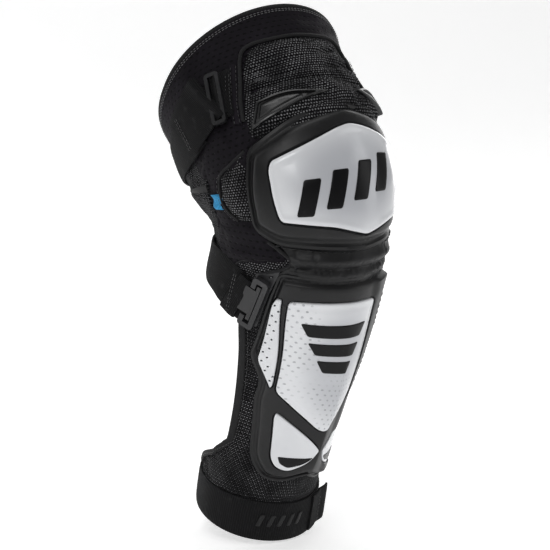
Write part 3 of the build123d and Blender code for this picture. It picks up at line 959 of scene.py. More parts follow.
def knee_pieces():
    """The knee cup: frame, plate, bars, foam and the blue lining with its fold."""
    frame_piece = relief("knee_cup_frame.moulding", FRAME_EDGE, frame_height, 2.6,
                         rings=(*LIP_RINGS, 8.0, 9.2),
                         loops=[(PLATE_EDGE, (-1.6, -1.0, -0.4))])
    dress(frame_piece, RUBBER, "knee", ["knee_cup_frame"])
    plate = relief(
        "knee_plate.shell", PLATE_EDGE, plate_height, 6.4, rings=(0, 0.25, 0.7, 1.4, 2.2, 2.8, 3.6)
    )
    dress(plate, WHITE, "knee", ["knee_plate"])
    for k, middle in enumerate((29, 13, -3, -18)):
        edge = bar_outline(middle)
        bar = relief(
            f"knee_plate_bars.bar_{k + 1}",
            edge,
            raised(plate_height, edge, 0.65),
            9.0,
            rings=INLAY_RINGS,
            grid=2.0,
        )
        dress(bar, INLAY, "knee", ["knee_plate_bars"] if k == 0 else ())
    foam_edge = outline(
        mirror([(0, 42), (30, 40, 12), (48, 28, 12), (53, 12, 12), (52, -4, 12), (38, -16, 12), (0, -19)])
    )
    foam = relief(
        "knee_foam.pad", foam_edge, level(5.2, foam_edge, 4, 2.6), 1.7, rings=(0, 1, 2.4, 4), grid=4
    )
    dress(foam, FOAM, "knee", ["knee_foam"])

    def lining(u, v):
        station = -24 + 66 * v
        half = np.interp(station, [-24, 0, 12, 42], [56, 62, 60, 40])
        return (2 * u - 1) * half, station, 1.3 + 0.5 * np.sin(v * 21) * np.abs(2 * u - 1) ** 6
    dress(
        sheet_grid("knee_lining.cloth", lining, 84, 28, 1.1),
        LINING,
        "knee",
        ["knee_lining"],
    )
    route = mirror([(0, -30.4), (30, -28.6), (48, -26.4)])[::-1]
    seam = stitches("knee_cup_frame.stitches", [(route, 6.4)], length=3.4, gap=0.9, radius=0.6)
    dress(seam, SOFT_RUBBER, "knee")

    def fold(u, v):
        bulge = np.sin(np.pi * u) * (0.6 + 0.4 * np.sin(v * 9))
        return 84 + 8 * u + 1.2 * np.sin(v * 7), -5 + 13 * v, 4.4 + 2.6 * bulge
    dress(sheet_grid("knee_lining.fold", fold, 12, 12, 0.9), LINING, "knee")


def gusset_pieces(name, side):
    """The cloth gusset beside the knee cup on one side."""
    def puff(u, v):
        station = -13 + 46 * v
        turn = span(
            u,
            station,
            ([-13, 5, 22, 33], [60, 61, 60, 53]),
            ([-13, -6, 4, 20, 33], [73, 80, 83.5, 79.5, 61]),
        )
        rib = 0.35 * np.sin(station * 0.9 + turn * 0.35)
        return (
            side * turn,
            station,
            3.6 + 2.6 * np.sin(np.pi * np.clip(u, 0, 1)) ** 0.7 * np.sin(np.pi * v) ** 0.6 + rib * 0.5,
        )
    edges = border(0.8, 0.86)
    mesh = sewn_cloth(f"side_gusset_{name}.mesh", puff, 30, 44, 1.6, edges)
    dress(mesh, KNIT, "knee", [f"side_gusset_{name}"])

    def strip(u, v):
        station = -22 + 58 * v
        turn = span(
            u,
            station,
            ([-22, -6, 4, 20, 36], [67, 79, 82.5, 78.5, 58]),
            ([-22, -6, 6, 22, 36], [90, 94, 93, 92, 92]),
        )
        wrinkle = 0.5 * np.sin(station * 0.42 + u * 3) * np.sin(np.pi * u)
        return side * turn, station, 3.4 + 1.0 * np.sin(np.pi * u) + wrinkle
    binding = sheet_grid(f"gusset_binding_{name}.neoprene", strip, 22, 46, 1.8)
    dress(binding, NEOPRENE, "knee", [f"gusset_binding_{name}"])
    around_gusset = [(58, 33), (69, 27.5), (80, 20.5), (83.6, 4), (80.6, -6), (74, -13)]
    cord_route = swap(around_gusset, side)
    piping = band(f"side_gusset_{name}.piping", cord_route, round_section(1.1, 3.6), step=2.0)
    dress(piping, TAPE, "knee")
    row = [(turn + 1.8, station - 0.6) for turn, station in around_gusset]
    dress(
        stitches(f"side_gusset_{name}.stitches", [(swap(row, side), 5.0)], radius=0.24),
        THREAD,
        "knee",
    )


# ---------------------------------------------------------------- soft panels at the knee's fold
def bellows_place(u, v):
    """A place on the bellows between the knee cup and the shin frame."""
    station = -23 - 31 * v
    half = np.interp(station, [-50, -46, -40, -36, -32, -26], [51, 47, 43, 42, 44, 49])
    turn = (2 * u - 1) * half
    edge = 1 - np.abs(2 * u - 1) ** 10
    folds = (
        4.4 * hump(station, -35.5, 4.2)
        + 1.6 * hump(station, -45.0, 2.6)
        - 1.6 * hump(station, -41.4, 1.3)
    )
    return turn, station, 5.2 + folds * (0.35 + 0.65 * edge)


def fold_pieces():
    """The flexible cloth panels and folds that join the knee cup to both halves."""
    sewn = lambda u, v, turn, station: np.maximum.reduce(
        [near_edge(v, 0.88), near_edge(u, 0.96), 0.8 * hump(station, -39.6, 1.2)]
    )
    bellows = sewn_cloth(
        "front_bellows.folds", bellows_place, 110, 34, 2.4, sewn, grow=0.04, reach=1.2, dip=0.5
    )
    dress(
        bellows,
        SOFT_RUBBER,
        bend=KNEE_TO_SHIN,
        replaces=["front_bellows"],
    )
    for name, side in SIDES:
        seam = swap([(56, -25), (49, -30), (42.5, -36), (42.4, -39.5), (47.5, -44), (56, -48.5)], side)
        piping = band(f"front_bellows.piping_{name}", seam, round_section(1.5, 3.4), step=1.6)
        dress(piping, TAPE, bend=KNEE_TO_SHIN)

        def neoprene(u, v):
            station = -8 - 50 * v
            turn = span(
                u,
                station,
                ([-58, -46, -42, -38, -33, -28, -20, -8], [80, 74, 62, 48, 38, 38, 46, 52]),
                ([-58, -8], [96, 96]),
            )
            wrinkles = 0.9 * np.sin(station * 0.36 + u * 5.0) * np.sin(np.pi * u)
            return side * turn, station, 2.6 + 1.6 * np.sin(np.pi * v) + wrinkles
        edges = border(0.9, 0.85)
        panel = sewn_cloth(f"side_neoprene_{name}.panel", neoprene, 44, 30, 1.8, edges)
        dress(
            panel,
            NEOPRENE,
            bend=SIDE_TO_SHIN,
            replaces=[f"side_neoprene_{name}"],
        )

        def patch(u, v):
            station = -36 - 24 * v
            turn = span(
                u,
                station,
                ([-60, -50, -44, -36], [46, 44, 40, 40]),
                ([-60, -52, -46, -38], [80, 79, 76, 62]),
            )
            return side * turn, station, 3.3 + 1.2 * np.sin(np.pi * u) * np.sin(np.pi * v)
        mesh = sewn_cloth(f"lower_mesh_patch_{name}.mesh", patch, 26, 24, 1.4, edges, reach=1.2)
        dress(
            mesh,
            KNIT,
            bend=SIDE_TO_SHIN,
            replaces=[f"lower_mesh_patch_{name}"],
        )
        hem = swap([(52, -37.2), (64, -40.6), (75.5, -46), (79, -57)], side)
        dress(
            band(f"lower_mesh_patch_{name}.hem", hem, round_section(0.9, 3.2), step=1.8),
            TAPE,
            bend=SIDE_TO_SHIN,
        )

        def side_panel(u, v):
            station = 20 + 56 * v
            turn = span(u, station, ([20, 33, 46, 60, 76], [62, 46, 42, 42, 44]), ([20, 76], [97, 97]))
            wrinkles = 0.8 * np.sin(station * 0.25 + u * 6.0) * np.sin(np.pi * u)
            return side * turn, station, 3.0 + wrinkles * 0.6 + 0.9 * np.sin(np.pi * v)
        side_cloth = sewn_cloth(f"side_panel_{name}.neoprene", side_panel, 44, 44, 1.9, edges)
        dress(
            side_cloth,
            NEOPRENE,
            bend=SIDE_TO_THIGH,
            replaces=[f"side_panel_{name}"],
        )
    back_edges = border(0.95, 0.9)
    upper = sewn_cloth(
        "back_panel_upper.mesh",
        lambda u,
        v: (
            93 + 174 * u,
            13 + 63 * v,
            2.2 + 4.0 * hump(13 + 63 * v, 6, 14) + 0.8 * np.sin(v * 17 + np.sin(u * 9)) * np.sin(np.pi * v),
        ),
        120,
        44,
        1.6,
        back_edges,
        reach=1.8,
        dip=1.2,
    )
    dress(upper, SIDE_KNIT, bend=BACK_TO_THIGH, replaces=["back_panel_upper"])
    lower = sewn_cloth(
        "back_panel_lower.mesh",
        lambda u,
        v: (
            94 + 172 * u,
            -62 + 77 * v,
            2.1 + 4.0 * hump(-62 + 77 * v, 6, 14) + 0.9 * np.sin(v * 19 + np.sin(u * 8)) * np.sin(np.pi * v),
        ),
        120,
        50,
        1.6,
        back_edges,
        reach=1.8,
        dip=1.2,
    )
    dress(lower, SIDE_KNIT, bend=BACK_TO_SHIN, replaces=["back_panel_lower"])
    for label, station, bend in (
        ("top", 75, BACK_TO_THIGH), ("middle", 14, BACK_TO_THIGH), ("bottom", -62, BACK_TO_SHIN)
    ):
        route = [(93, station), (180, station), (267, station)]
        rise = 3.2 * float(hump(station, 6, 14))
        dress(
            band(f"back_panel.binding_{label}", route, strap_section(7, 0.8 + rise, 3.6 + rise), step=4),
            TAPE,
            bend=bend,
        )


# ---------------------------------------------------------------- thigh
PAD_FOOT = 29  # the quilt is sewn in under the knee frame here
PAD_HALF = ([36, 56, 62, 70, 80, 90, 100, 107, 112], [51, 50, 48, 45.5, 42, 39, 35.5, 31, 26])
PAD_FOLDS = (
    (44.0, 0.02, 3.0, 2.0),
    (73.0, 0.03, 3.2, 6.0),
    (80.5, -0.02, 2.4, 4.8),
    (91.0, -0.20, 2.4, 4.4),
    (100.5, -0.36, 2.0, 3.8),
)


def pad_top(turn):
    """The pad's upper edge: level at the front and lower towards its corners."""
    return 110.5 - 0.0035 * np.asarray(turn, float) ** 2


def pad_half(station):
    """Half the turn that the quilted pad spans at a station."""
    return np.interp(station, *PAD_HALF)


def pad_fold(turn, station):
    """How deep the pad's sewn cross folds are: most on the outer side, where they gather."""
    turn = np.asarray(turn, float)
    depth = 0
    for middle, slope, width, deep in PAD_FOLDS:
        line = middle + slope * turn * 0.9 + 0.0022 * (turn - 10) ** 2 * np.sign(-slope)
        depth = depth + deep * hump(station, line, width) * (0.55 + 0.45 * ramp(np.abs(turn), 4, 34))
    return depth


def pad_place(u, v):
    """A place on the quilted pad, with its sewn folds."""
    turn = (2 * u - 1) * pad_half(PAD_FOOT + 82 * v)
    station = PAD_FOOT + (pad_top(turn) - PAD_FOOT) * v
    edge = np.minimum(ramp(1 - np.abs(2 * u - 1), 0, 0.12), ramp(1 - v, 0, 0.09))
    crown = 5.4 + 2.2 * edge + 1.6 * edge * np.cos(np.radians(turn * 1.6)) + 2.4 * edge * hump(station, 49, 7)
    xy = spread(turn, station).reshape(-1, 2)
    under = ramp(inside(xy, FRAME_EDGE), -6, 0).reshape(np.shape(turn))
    return turn, station, crown - 0.8 * pad_fold(turn, station) * edge - 3.4 * under


TRIMS = {
    "left": [(48.5, 43, 2.0), (40, 61, 2.0), (23, 64, 18), (-1, 57.5, 1.2), (16, 54, 20), (33, 48.5, 20)],
    "right": [(-47.5, 43.5, 2.0), (-41, 60, 2.0), (-32, 62, 10), (-23, 58, 1.2), (-34, 52.5, 10)],
}


def thigh_pieces():
    """The thigh section: quilted pad, foam, piping, side panels and vent trims."""
    def sewn(u, v, turn, station):
        border = np.maximum(near_edge(u, 0.95), np.maximum(ramp(v, 0.95, 1), ramp(1 - v, 0.92, 1)))
        xy = spread(turn, station).reshape(-1, 2)
        under = np.max([inside(xy, outline(corners, step=3)) for corners in TRIMS.values()], 0)
        held = np.maximum(
            ramp(under, -4, -1).reshape(turn.shape), 0.85 * ramp(pad_fold(turn, station), 2.6, 4.0)
        )
        return np.maximum(border, held)
    cover = sewn_cloth(
        "thigh_mesh_cover.quilt", pad_place, 110, 84, 2.0, sewn, grow=0.07, pressure=8.0, reach=2.6,
        dip=0.8,
    )
    dress(
        cover,
        KNIT,
        bend=KNEE_TO_THIGH,
        replaces=["thigh_mesh_cover", "upper_flex_panel"],
    )
    foam_edge = outline(mirror([(0, 104), (24, 102, 10), (33, 92, 10), (36, 78, 10), (0, 76)]))
    foam = relief("thigh_foam.pad", foam_edge, level(5.4, foam_edge, 3, 1.4), 3.5, rings=(0, 1, 3), grid=5)
    dress(foam, FOAM, "thigh", ["thigh_foam"])
    for name, side in SIDES:
        edge = [
            (51.4, 52), (49, 62), (46.6, 70), (43, 80), (39.8, 90), (36.4, 100), (32.5, 107.5),
            (26, 110.6), (14, 111), (0, 111.6),
        ]
        piping = band(f"cover_piping_{name}.cord", swap(edge, side), round_section(1.6, 5.0), step=2.4)
        dress(piping, TAPE, bend=KNEE_TO_THIGH, replaces=[f"cover_piping_{name}"])
        strip = [(turn + 4.2, station + (1.5 if turn < 34 else 0)) for turn, station in edge[:6]]
        tape_strip = band(
            f"cover_piping_{name}.strip", swap(strip, side), strap_section(8.0, 2.2, 5.0, 0.8), step=2.4
        )
        dress(tape_strip, NEOPRENE, bend=KNEE_TO_THIGH)
        rows = [[(turn + shift, station) for turn, station in strip] for shift in (-1.7, 1.7)]
        dress(
            stitches(
                f"cover_piping_{name}.stitches", [(swap(row, side), 5.4) for row in rows], radius=0.22
            ),
            THREAD,
            bend=KNEE_TO_THIGH,
        )
    for name, corners in TRIMS.items():
        trim_piece(name, corners)
    cuff_pieces()
    strap_pieces()


def trim_piece(name, corners):
    """A wedge of moulded rubber rails round a dark vent, sewn on the pad."""
    edge = outline(corners, step=1.2)

    def height(xy):
        d = inside(xy, edge)
        rail = 3.2 - 1.4 * rounded_edge(d, 0.8, 1.0)
        return pad_at(xy) + rail - 2.2 * ramp(d, 1.5, 2.3) + 1.4 * ramp(d, 3.4, 4.4)

    def pad_at(xy):
        turn = xy[:, 0] / pace(xy[:, 1])
        return 9.5 - 1.2 * ramp(np.abs(turn), 34, 48) + 2.0 * hump(xy[:, 1], 47, 7)
    piece = relief(
        f"vent_trim_{name}.wedge", edge, height, 5.5, rings=(0, 0.4, 0.9, 1.5, 2.3, 3.4, 4.4), grid=2.0
    )
    dress(piece, TRIM_RUBBER, bend=KNEE_TO_THIGH, replaces=[f"vent_trim_{name}"])


def rim(turn, front, back):
    """The station of a slanting edge that is level front to back across the leg."""
    return back + (front - back) * (1 + np.cos(np.radians(turn))) / 2


CUFF_TOP, CUFF_BOUND = (142, 91), (142.2, 91.2)  # front and back stations of slanting edges
GRIP_FOOT, GRIP_TOP = (102, 78), (116, 86)
ANKLE_FOOT, ANKLE_TOP = (-316, -302), (-276, -270)
TAB_FOOT, TAB_TOP = (-314, -301), (-277, -271)


def cuff_pieces():
    """The thigh cuff with its binding, its stitches and the grip band inside."""
    def cuff(u, v):
        turn = 360 * u - 180
        top = rim(turn, *CUFF_TOP)
        low = 68 + 30 * (1 - ramp(np.abs(turn), 24, 38))
        station = low + (top - low) * v
        soft = 0.7 * np.sin(np.radians(turn * 5) + v * 4) * np.sin(np.pi * v)
        return turn, station, 3.4 + soft
    sewn = lambda u, v, turn, station: np.maximum(near_edge(v, 0.92), 0)
    cloth = sewn_cloth(
        "thigh_cuff.neoprene", cuff, 200, 34, 3.2, sewn, grow=0.03, pressure=3.0, reach=1.6, dip=1.0,
        closed=True,
    )
    dress(cloth, NEOPRENE, "thigh", ["thigh_cuff"])

    def binding(u, v):
        turn = 360 * u - 180
        around = 2 * np.pi * v
        return turn, rim(turn, *CUFF_BOUND) + 2.6 * np.cos(around), 1.9 + 2.7 * np.sin(around)
    ring_mesh("cuff_rim_binding.tape", binding, 220, 12, TAPE, "thigh", ["cuff_rim_binding"])
    lines = []
    for shift, height in ((-3.6, 4.9), (-5.4, 4.9)):
        lines.append(([(turn, float(rim(turn, *CUFF_TOP)) + shift) for turn in range(-180, 181, 6)], height))
    dress(
        stitches("thigh_cuff.rim_stitches", lines, length=2.2, gap=1.2),
        PALE_THREAD,
        "thigh",
    )

    def grip(u, v):
        turn = 360 * u - 180
        low = rim(turn, *GRIP_FOOT)
        station = low + (rim(turn, *GRIP_TOP) - low) * v
        return turn, station, -0.2 + 0 * u
    grip_band = sheet_grid("silicone_grip_band.print", grip, 140, 8, 0.9, closed=True)
    dress(grip_band, SILICONE, "thigh", ["silicone_grip_band"])


def ring_mesh(name, place, columns, rows, look, body, replaces=()):
    """A tube that closes on itself both ways, such as a bound rim."""
    u, v = np.meshgrid(np.arange(columns) / columns, np.arange(rows) / rows)
    turn, station, height = place(u, v)
    points = skin(turn, station, height)
    faces, uvs = [], []
    for r in range(rows):
        for c in range(columns):
            cells = [(c, r), (c + 1, r), (c + 1, r + 1), (c, r + 1)]
            faces.append([(a % columns) + (b % rows) * columns for a, b in cells])
            uvs += [(a * 5.9 * 100 / columns, b * 1.4) for a, b in cells]
    return dress(finish_mesh(name, points.reshape(-1, 3), faces, np.array(uvs)), look, body, replaces)


THIGH_ROUTE = [(63, 78), (75, 74), (84, 69), (102, 61), (120, 56), (150, 53), (180, 53)]
THIGH_ROUTE += [(360 - turn, station) for turn, station in reversed(THIGH_ROUTE[:-1])]


def strap_pieces():
    """The thigh strap, its end flap, the ring's tab and the anchor on the inner side."""
    strap = band("thigh_strap.elastic", THIGH_ROUTE[2:], strap_section(40, 5.2, 7.4), step=3)
    dress(strap, ELASTIC, "thigh", ["thigh_strap"])
    flap = band(
        "thigh_strap_end.flap",
        [(61.6, 83.0), (70, 79.5), (80, 73.5), (94, 65.5)],
        strap_section(42, 8.0, 9.9, 0.5),
        step=1.6,
        height=lambda t: 3.0 * hump(t, 0.09, 0.1) - 1.5 * hump(t, 0.0, 0.03),
    )
    dress(flap, ELASTIC, "strap_end", ["thigh_strap_end"])
    rows = [
        [(90.5 + shift, 67.4 - shift * 0.4 - 17), (90.5 + shift, 67.4 - shift * 0.4 + 17)]
        for shift in (0, 1.6)
    ]
    dress(
        stitches("thigh_strap_end.stitches", [(row, 10.5) for row in rows]),
        THREAD,
        "strap_end",
    )
    tab_edge = outline([(43, 98, 3), (56.2, 97, 2), (65, 62, 2), (54.5, 59, 3)], step=1.6)

    def tab_height(xy):
        d = inside(xy, tab_edge)
        bar = 56.3 + 0.23 * (78 - xy[:, 1])
        over = hump(xy[:, 0] / pace(xy[:, 1]) - bar, 0.3, 2.2)
        return 7.6 + 4.6 * over - rounded_edge(d, 1.2, 0.8)
    tab = relief("ring_tab.webbing", tab_edge, tab_height, 3.4, rings=WEBBING_RINGS, grid=2.0)
    dress(tab, ELASTIC, "thigh", ["ring_tab"])
    rows = [([(45 + k, 93.5), (50 + k, 79), (54.5 + k, 63)], 7.2) for k in (0.0, 2.2)]
    dress(stitches("ring_tab.stitches", rows), THREAD, "thigh")
    patch_edge = outline([(-43, 100, 3), (-56, 99, 3), (-64, 63, 3), (-52, 60, 3)], step=1.6)
    anchor = relief(
        "strap_anchor_patch.webbing",
        patch_edge,
        level(6.6, patch_edge, 1.2, 0.8),
        3.4,
        rings=WEBBING_RINGS,
    )
    dress(anchor, ELASTIC, "thigh", ["strap_anchor_patch"])
    link = band(
        "strap_anchor_patch.strap", [(-57, 79), (-75, 74), (-86, 68)], strap_section(38, 5.4, 7.3), step=3
    )
    dress(link, ELASTIC, "thigh")
    boxes = [([(-47, 96), (-53, 95), (-60.5, 66), (-55, 64), (-47, 96)], 7.2)]
    dress(stitches("strap_anchor_patch.stitches", boxes), THREAD, "thigh")


# ---------------------------------------------------------------- shin
SHIN_CORNERS = [
    (0, -47), (24, -46.5, 8), (45, -45.5, 6), (48, -64, 12), (56, -126, 9), (55, -133, 8), (49, -152, 14)
]
SHIN_CORNERS += [(51.5, -170, 14), (50, -232, 16), (39, -250, 14), (24, -252.5, 10), (0, -241, 30)]
SHIN_EDGE = outline(twisted(mirror(SHIN_CORNERS)))
SHIN_PLATE_CORNERS = [
    (0, -65.5), (22, -66, 8), (31.5, -67, 4), (32.5, -108, 20), (34.5, -158, 5), (19, -177, 12)
]
SHIN_PLATE_CORNERS += [(7, -189, 7), (0, -191.5, 5)]
SHIN_PLATE_EDGE = outline(twisted(mirror(SHIN_PLATE_CORNERS), PLATE_TWIST))
VENT = [
    (40.6, -66.5, 1.2), (43.6, -67, 1.2), (45.2, -72, 3), (50.0, -127, 3), (49.4, -132, 3),
    (42.4, -156, 1.2), (41.4, -153, 1.2),
]
LOWER = [
    (37.4, -179.5, 1.6), (18, -198, 30), (1.4, -212, 1.5), (9, -226, 14), (23, -237.5, 6),
    (31.5, -235, 6), (36, -226, 8), (38.2, -185, 4),
]
BADGE = [(32, -223.5, 1.2), (7, -220, 1), (12.5, -227, 8), (24, -233.5, 3), (29.8, -230, 2)]


def shin_frame_height(xy, openings):
    """The shin frame's profile: a rolled lip that runs down to the seats of its shells."""
    d = inside(xy, SHIN_EDGE)
    near = np.max([inside(xy, hole) for hole in openings], 0)
    turn = np.abs(xy[:, 0] / pace(xy[:, 1]) - SHIN_TWIST)
    h = lip_profile(d, 3.6, 6.6, 5.0, 9.4, 8.0)
    h += 0.8 * ramp(d, 8, 18)
    h += 1.0 * hump(turn, 38.4, 0.9) * ramp(xy[:, 1], -166, -156) * (1 - ramp(xy[:, 1], -68, -62))
    inner = ramp(SHIN_TWIST - xy[:, 0] / pace(xy[:, 1]), 22, 29)
    return h + 3.0 * inner * ramp(d, 3, 8) - 2.8 * ramp(near, -1.4, -0.4)


def shell_height(xy, edge, top, facet=0.0):
    """A glossy shell: rolled edge, a wide bevel, then a nearly flat face."""
    d = inside(xy, edge)
    return top - rounded_edge(d, 1.6, 1.5) + facet * ramp(d, 3.5, 8.0) + 0.5 * ramp(d, 8, 30)


def shin_plate_height(xy):
    """The shin plate's surface over the skin."""
    return shell_height(xy, SHIN_PLATE_EDGE, 12.0, 0.9)


def shin_pieces():
    """The shin section: frame, plates, vents, badges and bindings, and what hangs on them."""
    openings = [SHIN_PLATE_EDGE]
    for _, side in SIDES:
        openings += [
            outline(twisted(swap(VENT, side)), step=1.2),
            outline(twisted(swap(LOWER, side), LOWER_TWIST[side]), step=1.4),
        ]
    frame_piece = relief("shin_frame.moulding", SHIN_EDGE, lambda xy: shin_frame_height(xy, openings), 2.2,
                         rings=(*LIP_RINGS, 8.2), loops=[(hole, (-1.3, -0.5)) for hole in openings], grid=3.0)
    dress(frame_piece, RUBBER, "shin", ["shin_frame"])
    shell = relief(
        "shin_plate.shell",
        SHIN_PLATE_EDGE,
        shin_plate_height,
        6.5,
        rings=(*SHELL_RINGS, 2.6, 3.5, 5.0, 6.5, 8.0),
        grid=3.0,
    )
    dress(shell, DIMPLED, "shin", ["shin_plate"])
    for k, (station, half) in enumerate(((-89, 24), (-107, 20), (-124, 15))):
        corners = [
            (half, station + 6), (-half, station + 6), (-half + 4, station - 6), (half - 4, station - 6)
        ]
        edge = outline(twisted(corners, PLATE_TWIST), radius=1.5, step=1.4)
        bar = relief(
            f"shin_plate_bars.bar_{k + 1}",
            edge,
            raised(shin_plate_height, edge, 0.6),
            10.5,
            rings=INLAY_RINGS,
            grid=2.2,
        )
        dress(bar, INLAY, "shin", ["shin_plate_bars"] if k == 0 else ())
    for name, side in SIDES:
        vent_edge = outline(twisted(swap(VENT, side)), step=1.2)
        vent = relief(
            f"side_vent_{name}.shell",
            vent_edge,
            lambda xy: shell_height(xy, vent_edge, 11.4),
            6.5,
            rings=SHELL_RINGS,
            holes=vent_holes(side),
            grid=2.4,
        )
        dress(vent, WHITE, "shin", [f"side_vent_{name}"])
        lower_edge = outline(twisted(swap(LOWER, side), LOWER_TWIST[side]), step=1.4)
        lower_top = lambda xy: shell_height(xy, lower_edge, 11.6, 0.5)
        lower = relief(
            f"lower_plate_{name}.shell",
            lower_edge,
            lower_top,
            6.5,
            rings=(*SHELL_RINGS, 2.6, 3.5, 5.5),
            grid=2.6,
        )
        dress(lower, WHITE, "shin", [f"lower_plate_{name}"])
        badge_edge = outline(twisted(swap(BADGE, side), LOWER_TWIST[side]), step=1.0)
        badge = relief(
            f"lower_badge_{name}.inlay",
            badge_edge,
            raised(lower_top, badge_edge, 0.55, 0.6, 0.4),
            10.0,
            rings=(0, 0.3, 0.6),
            grid=2.0,
        )
        dress(badge, INLAY, "shin", [f"lower_badge_{name}"])
        binding = swap(
            [
                (58, -66), (62.5, -82), (66.5, -99), (64.5, -130), (64.5, -175), (67.5, -217),
                (72, -226), (81, -234), (109, -251), (119, -262),
            ],
            side,
        )
        dress(
            band(f"carrier_binding_{name}.tape", binding, strap_section(6.5, 0.6, 4.4, 0.5), step=2.4),
            TAPE,
            "shin",
            [f"carrier_binding_{name}"],
        )
        inner = [(turn - side * 4.0, station + 1.5) for turn, station in binding]
        dress(
            stitches(f"carrier_binding_{name}.stitches", [(inner, 4.6)], radius=0.24),
            THREAD,
            "shin",
        )
    carrier_pieces()
    calf_pieces()
    ankle_pieces()


def vent_holes(side):
    """Two columns of small round holes that follow the vent's edge."""
    holes = []
    for k in range(17):
        share = k / 16
        station = -72 - 76 * share
        edge = np.interp(station, [-156, -132, -127, -72], [42.4, 49.4, 50.0, 45.2])
        turn = edge - 1.6 - (2.7 if k % 2 and edge > 43.4 else 0.0) - 0.3 * share
        centre = flat([(side * turn + SHIN_TWIST, station)])[0]
        ring = np.arange(8) * math.pi / 4
        holes.append(centre + 1.0 * np.stack([np.cos(ring), np.sin(ring)], -1))
    return holes


CATCH_FLANGE = [
    (47, -44.5, 3), (63.5, -50.5, 3), (62, -58, 3), (61.5, -90, 3), (58.5, -101, 3), (56.2, -99, 2),
    (51, -62, 6),
]
CARRIER_HALF = (
    [-276, -262, -252, -234, -217, -175, -130, -99, -80, -46], [122, 119, 108, 79, 67, 64, 64, 66, 62, 56]
)


def carrier_pieces():
    """The cloth carrier behind the shin frame and its foam."""
    def carrier(u, v):
        station = -276 + 230 * v
        turn = (2 * u - 1) * np.interp(station, *CARRIER_HALF)
        outer = ramp(np.abs(turn), 46, 56)
        puff = np.sin(np.pi * np.clip((np.abs(turn) - 48) / 22, 0, 1))
        return turn, station, 2.0 + 1.6 * puff * outer * ramp(station, -266, -240)
    sewn = lambda u, v, turn, station: np.maximum.reduce(
        [near_edge(u, 0.95), near_edge(v, 0.97), 1 - ramp(np.abs(turn), 45, 50)]
    )
    cloth = sewn_cloth("shin_carrier.mesh", carrier, 130, 110, 1.6, sewn, reach=1.5, dip=0.4)
    dress(cloth, SHIN_KNIT, "shin", ["shin_carrier"])
    foam_edge = outline(
        mirror(
            [
                (0, -58), (34, -60, 10), (46, -90, 14), (50, -120, 14), (45, -180, 14), (34, -238, 14),
                (0, -242),
            ]
        )
    )
    foam = relief("shin_foam.pad", foam_edge, level(2.1, foam_edge, 3, 0.42), 0.4, rings=(0, 1, 3), grid=6)
    dress(foam, FOAM, "shin", ["shin_foam"])


CALF_ROUTE = [(64, -79), (72, -74.5), (80, -69), (95, -62), (120, -60), (180, -60)]
CALF_ROUTE += [(360 - turn, station) for turn, station in reversed(CALF_ROUTE[:-1])] + [(296, -78)]


def calf_pieces():
    """The calf strap, its catch and its clip."""
    flange_edge = outline(CATCH_FLANGE, step=1.4)
    flange = relief(
        "strap_catch.flange",
        flange_edge,
        lambda xy: lip_profile(inside(xy, flange_edge), 3.4, 5.6, 5.0, 5.4, 6.4),
        1.8,
        rings=(0, 0.5, 1.1, 2.8, 4.2),
        grid=2.4,
    )
    dress(flange, CATCH, "shin")
    strap = band("calf_strap.elastic", CALF_ROUTE, strap_section(40, 3.4, 5.6), step=3)
    dress(strap, ELASTIC, "shin", ["calf_strap"])
    loop = band(
        "calf_clip.strap_loop",
        [(66.5, -77), (70, -75.4), (76, -71.6)],
        strap_section(39, 7.0, 9.2, 0.5),
        step=2,
        height=lambda t: 0.8 * hump(t, 0.2, 0.3),
    )
    dress(loop, ELASTIC, "clip")
    rows = [[(74.2 + shift, -92), (73.2 + shift, -55)] for shift in (0, 1.4)]
    dress(stitches("calf_clip.stitches", [(row, 9.4) for row in rows]), THREAD, "clip")
    end_edge = outline([(-58, -56, 3), (-70, -54, 3), (-72, -98, 3), (-60, -100, 3)], step=1.8)
    end = relief("calf_strap.sewn_end", end_edge, level(6.9, end_edge, 1.2, 0.8), 3.6, rings=WEBBING_RINGS)
    dress(end, ELASTIC, "shin")
    box = [([(-61, -60), (-68.5, -58), (-70, -94), (-62, -96), (-61, -60)], 7.4)]
    dress(stitches("calf_strap.stitches", box), THREAD, "shin")


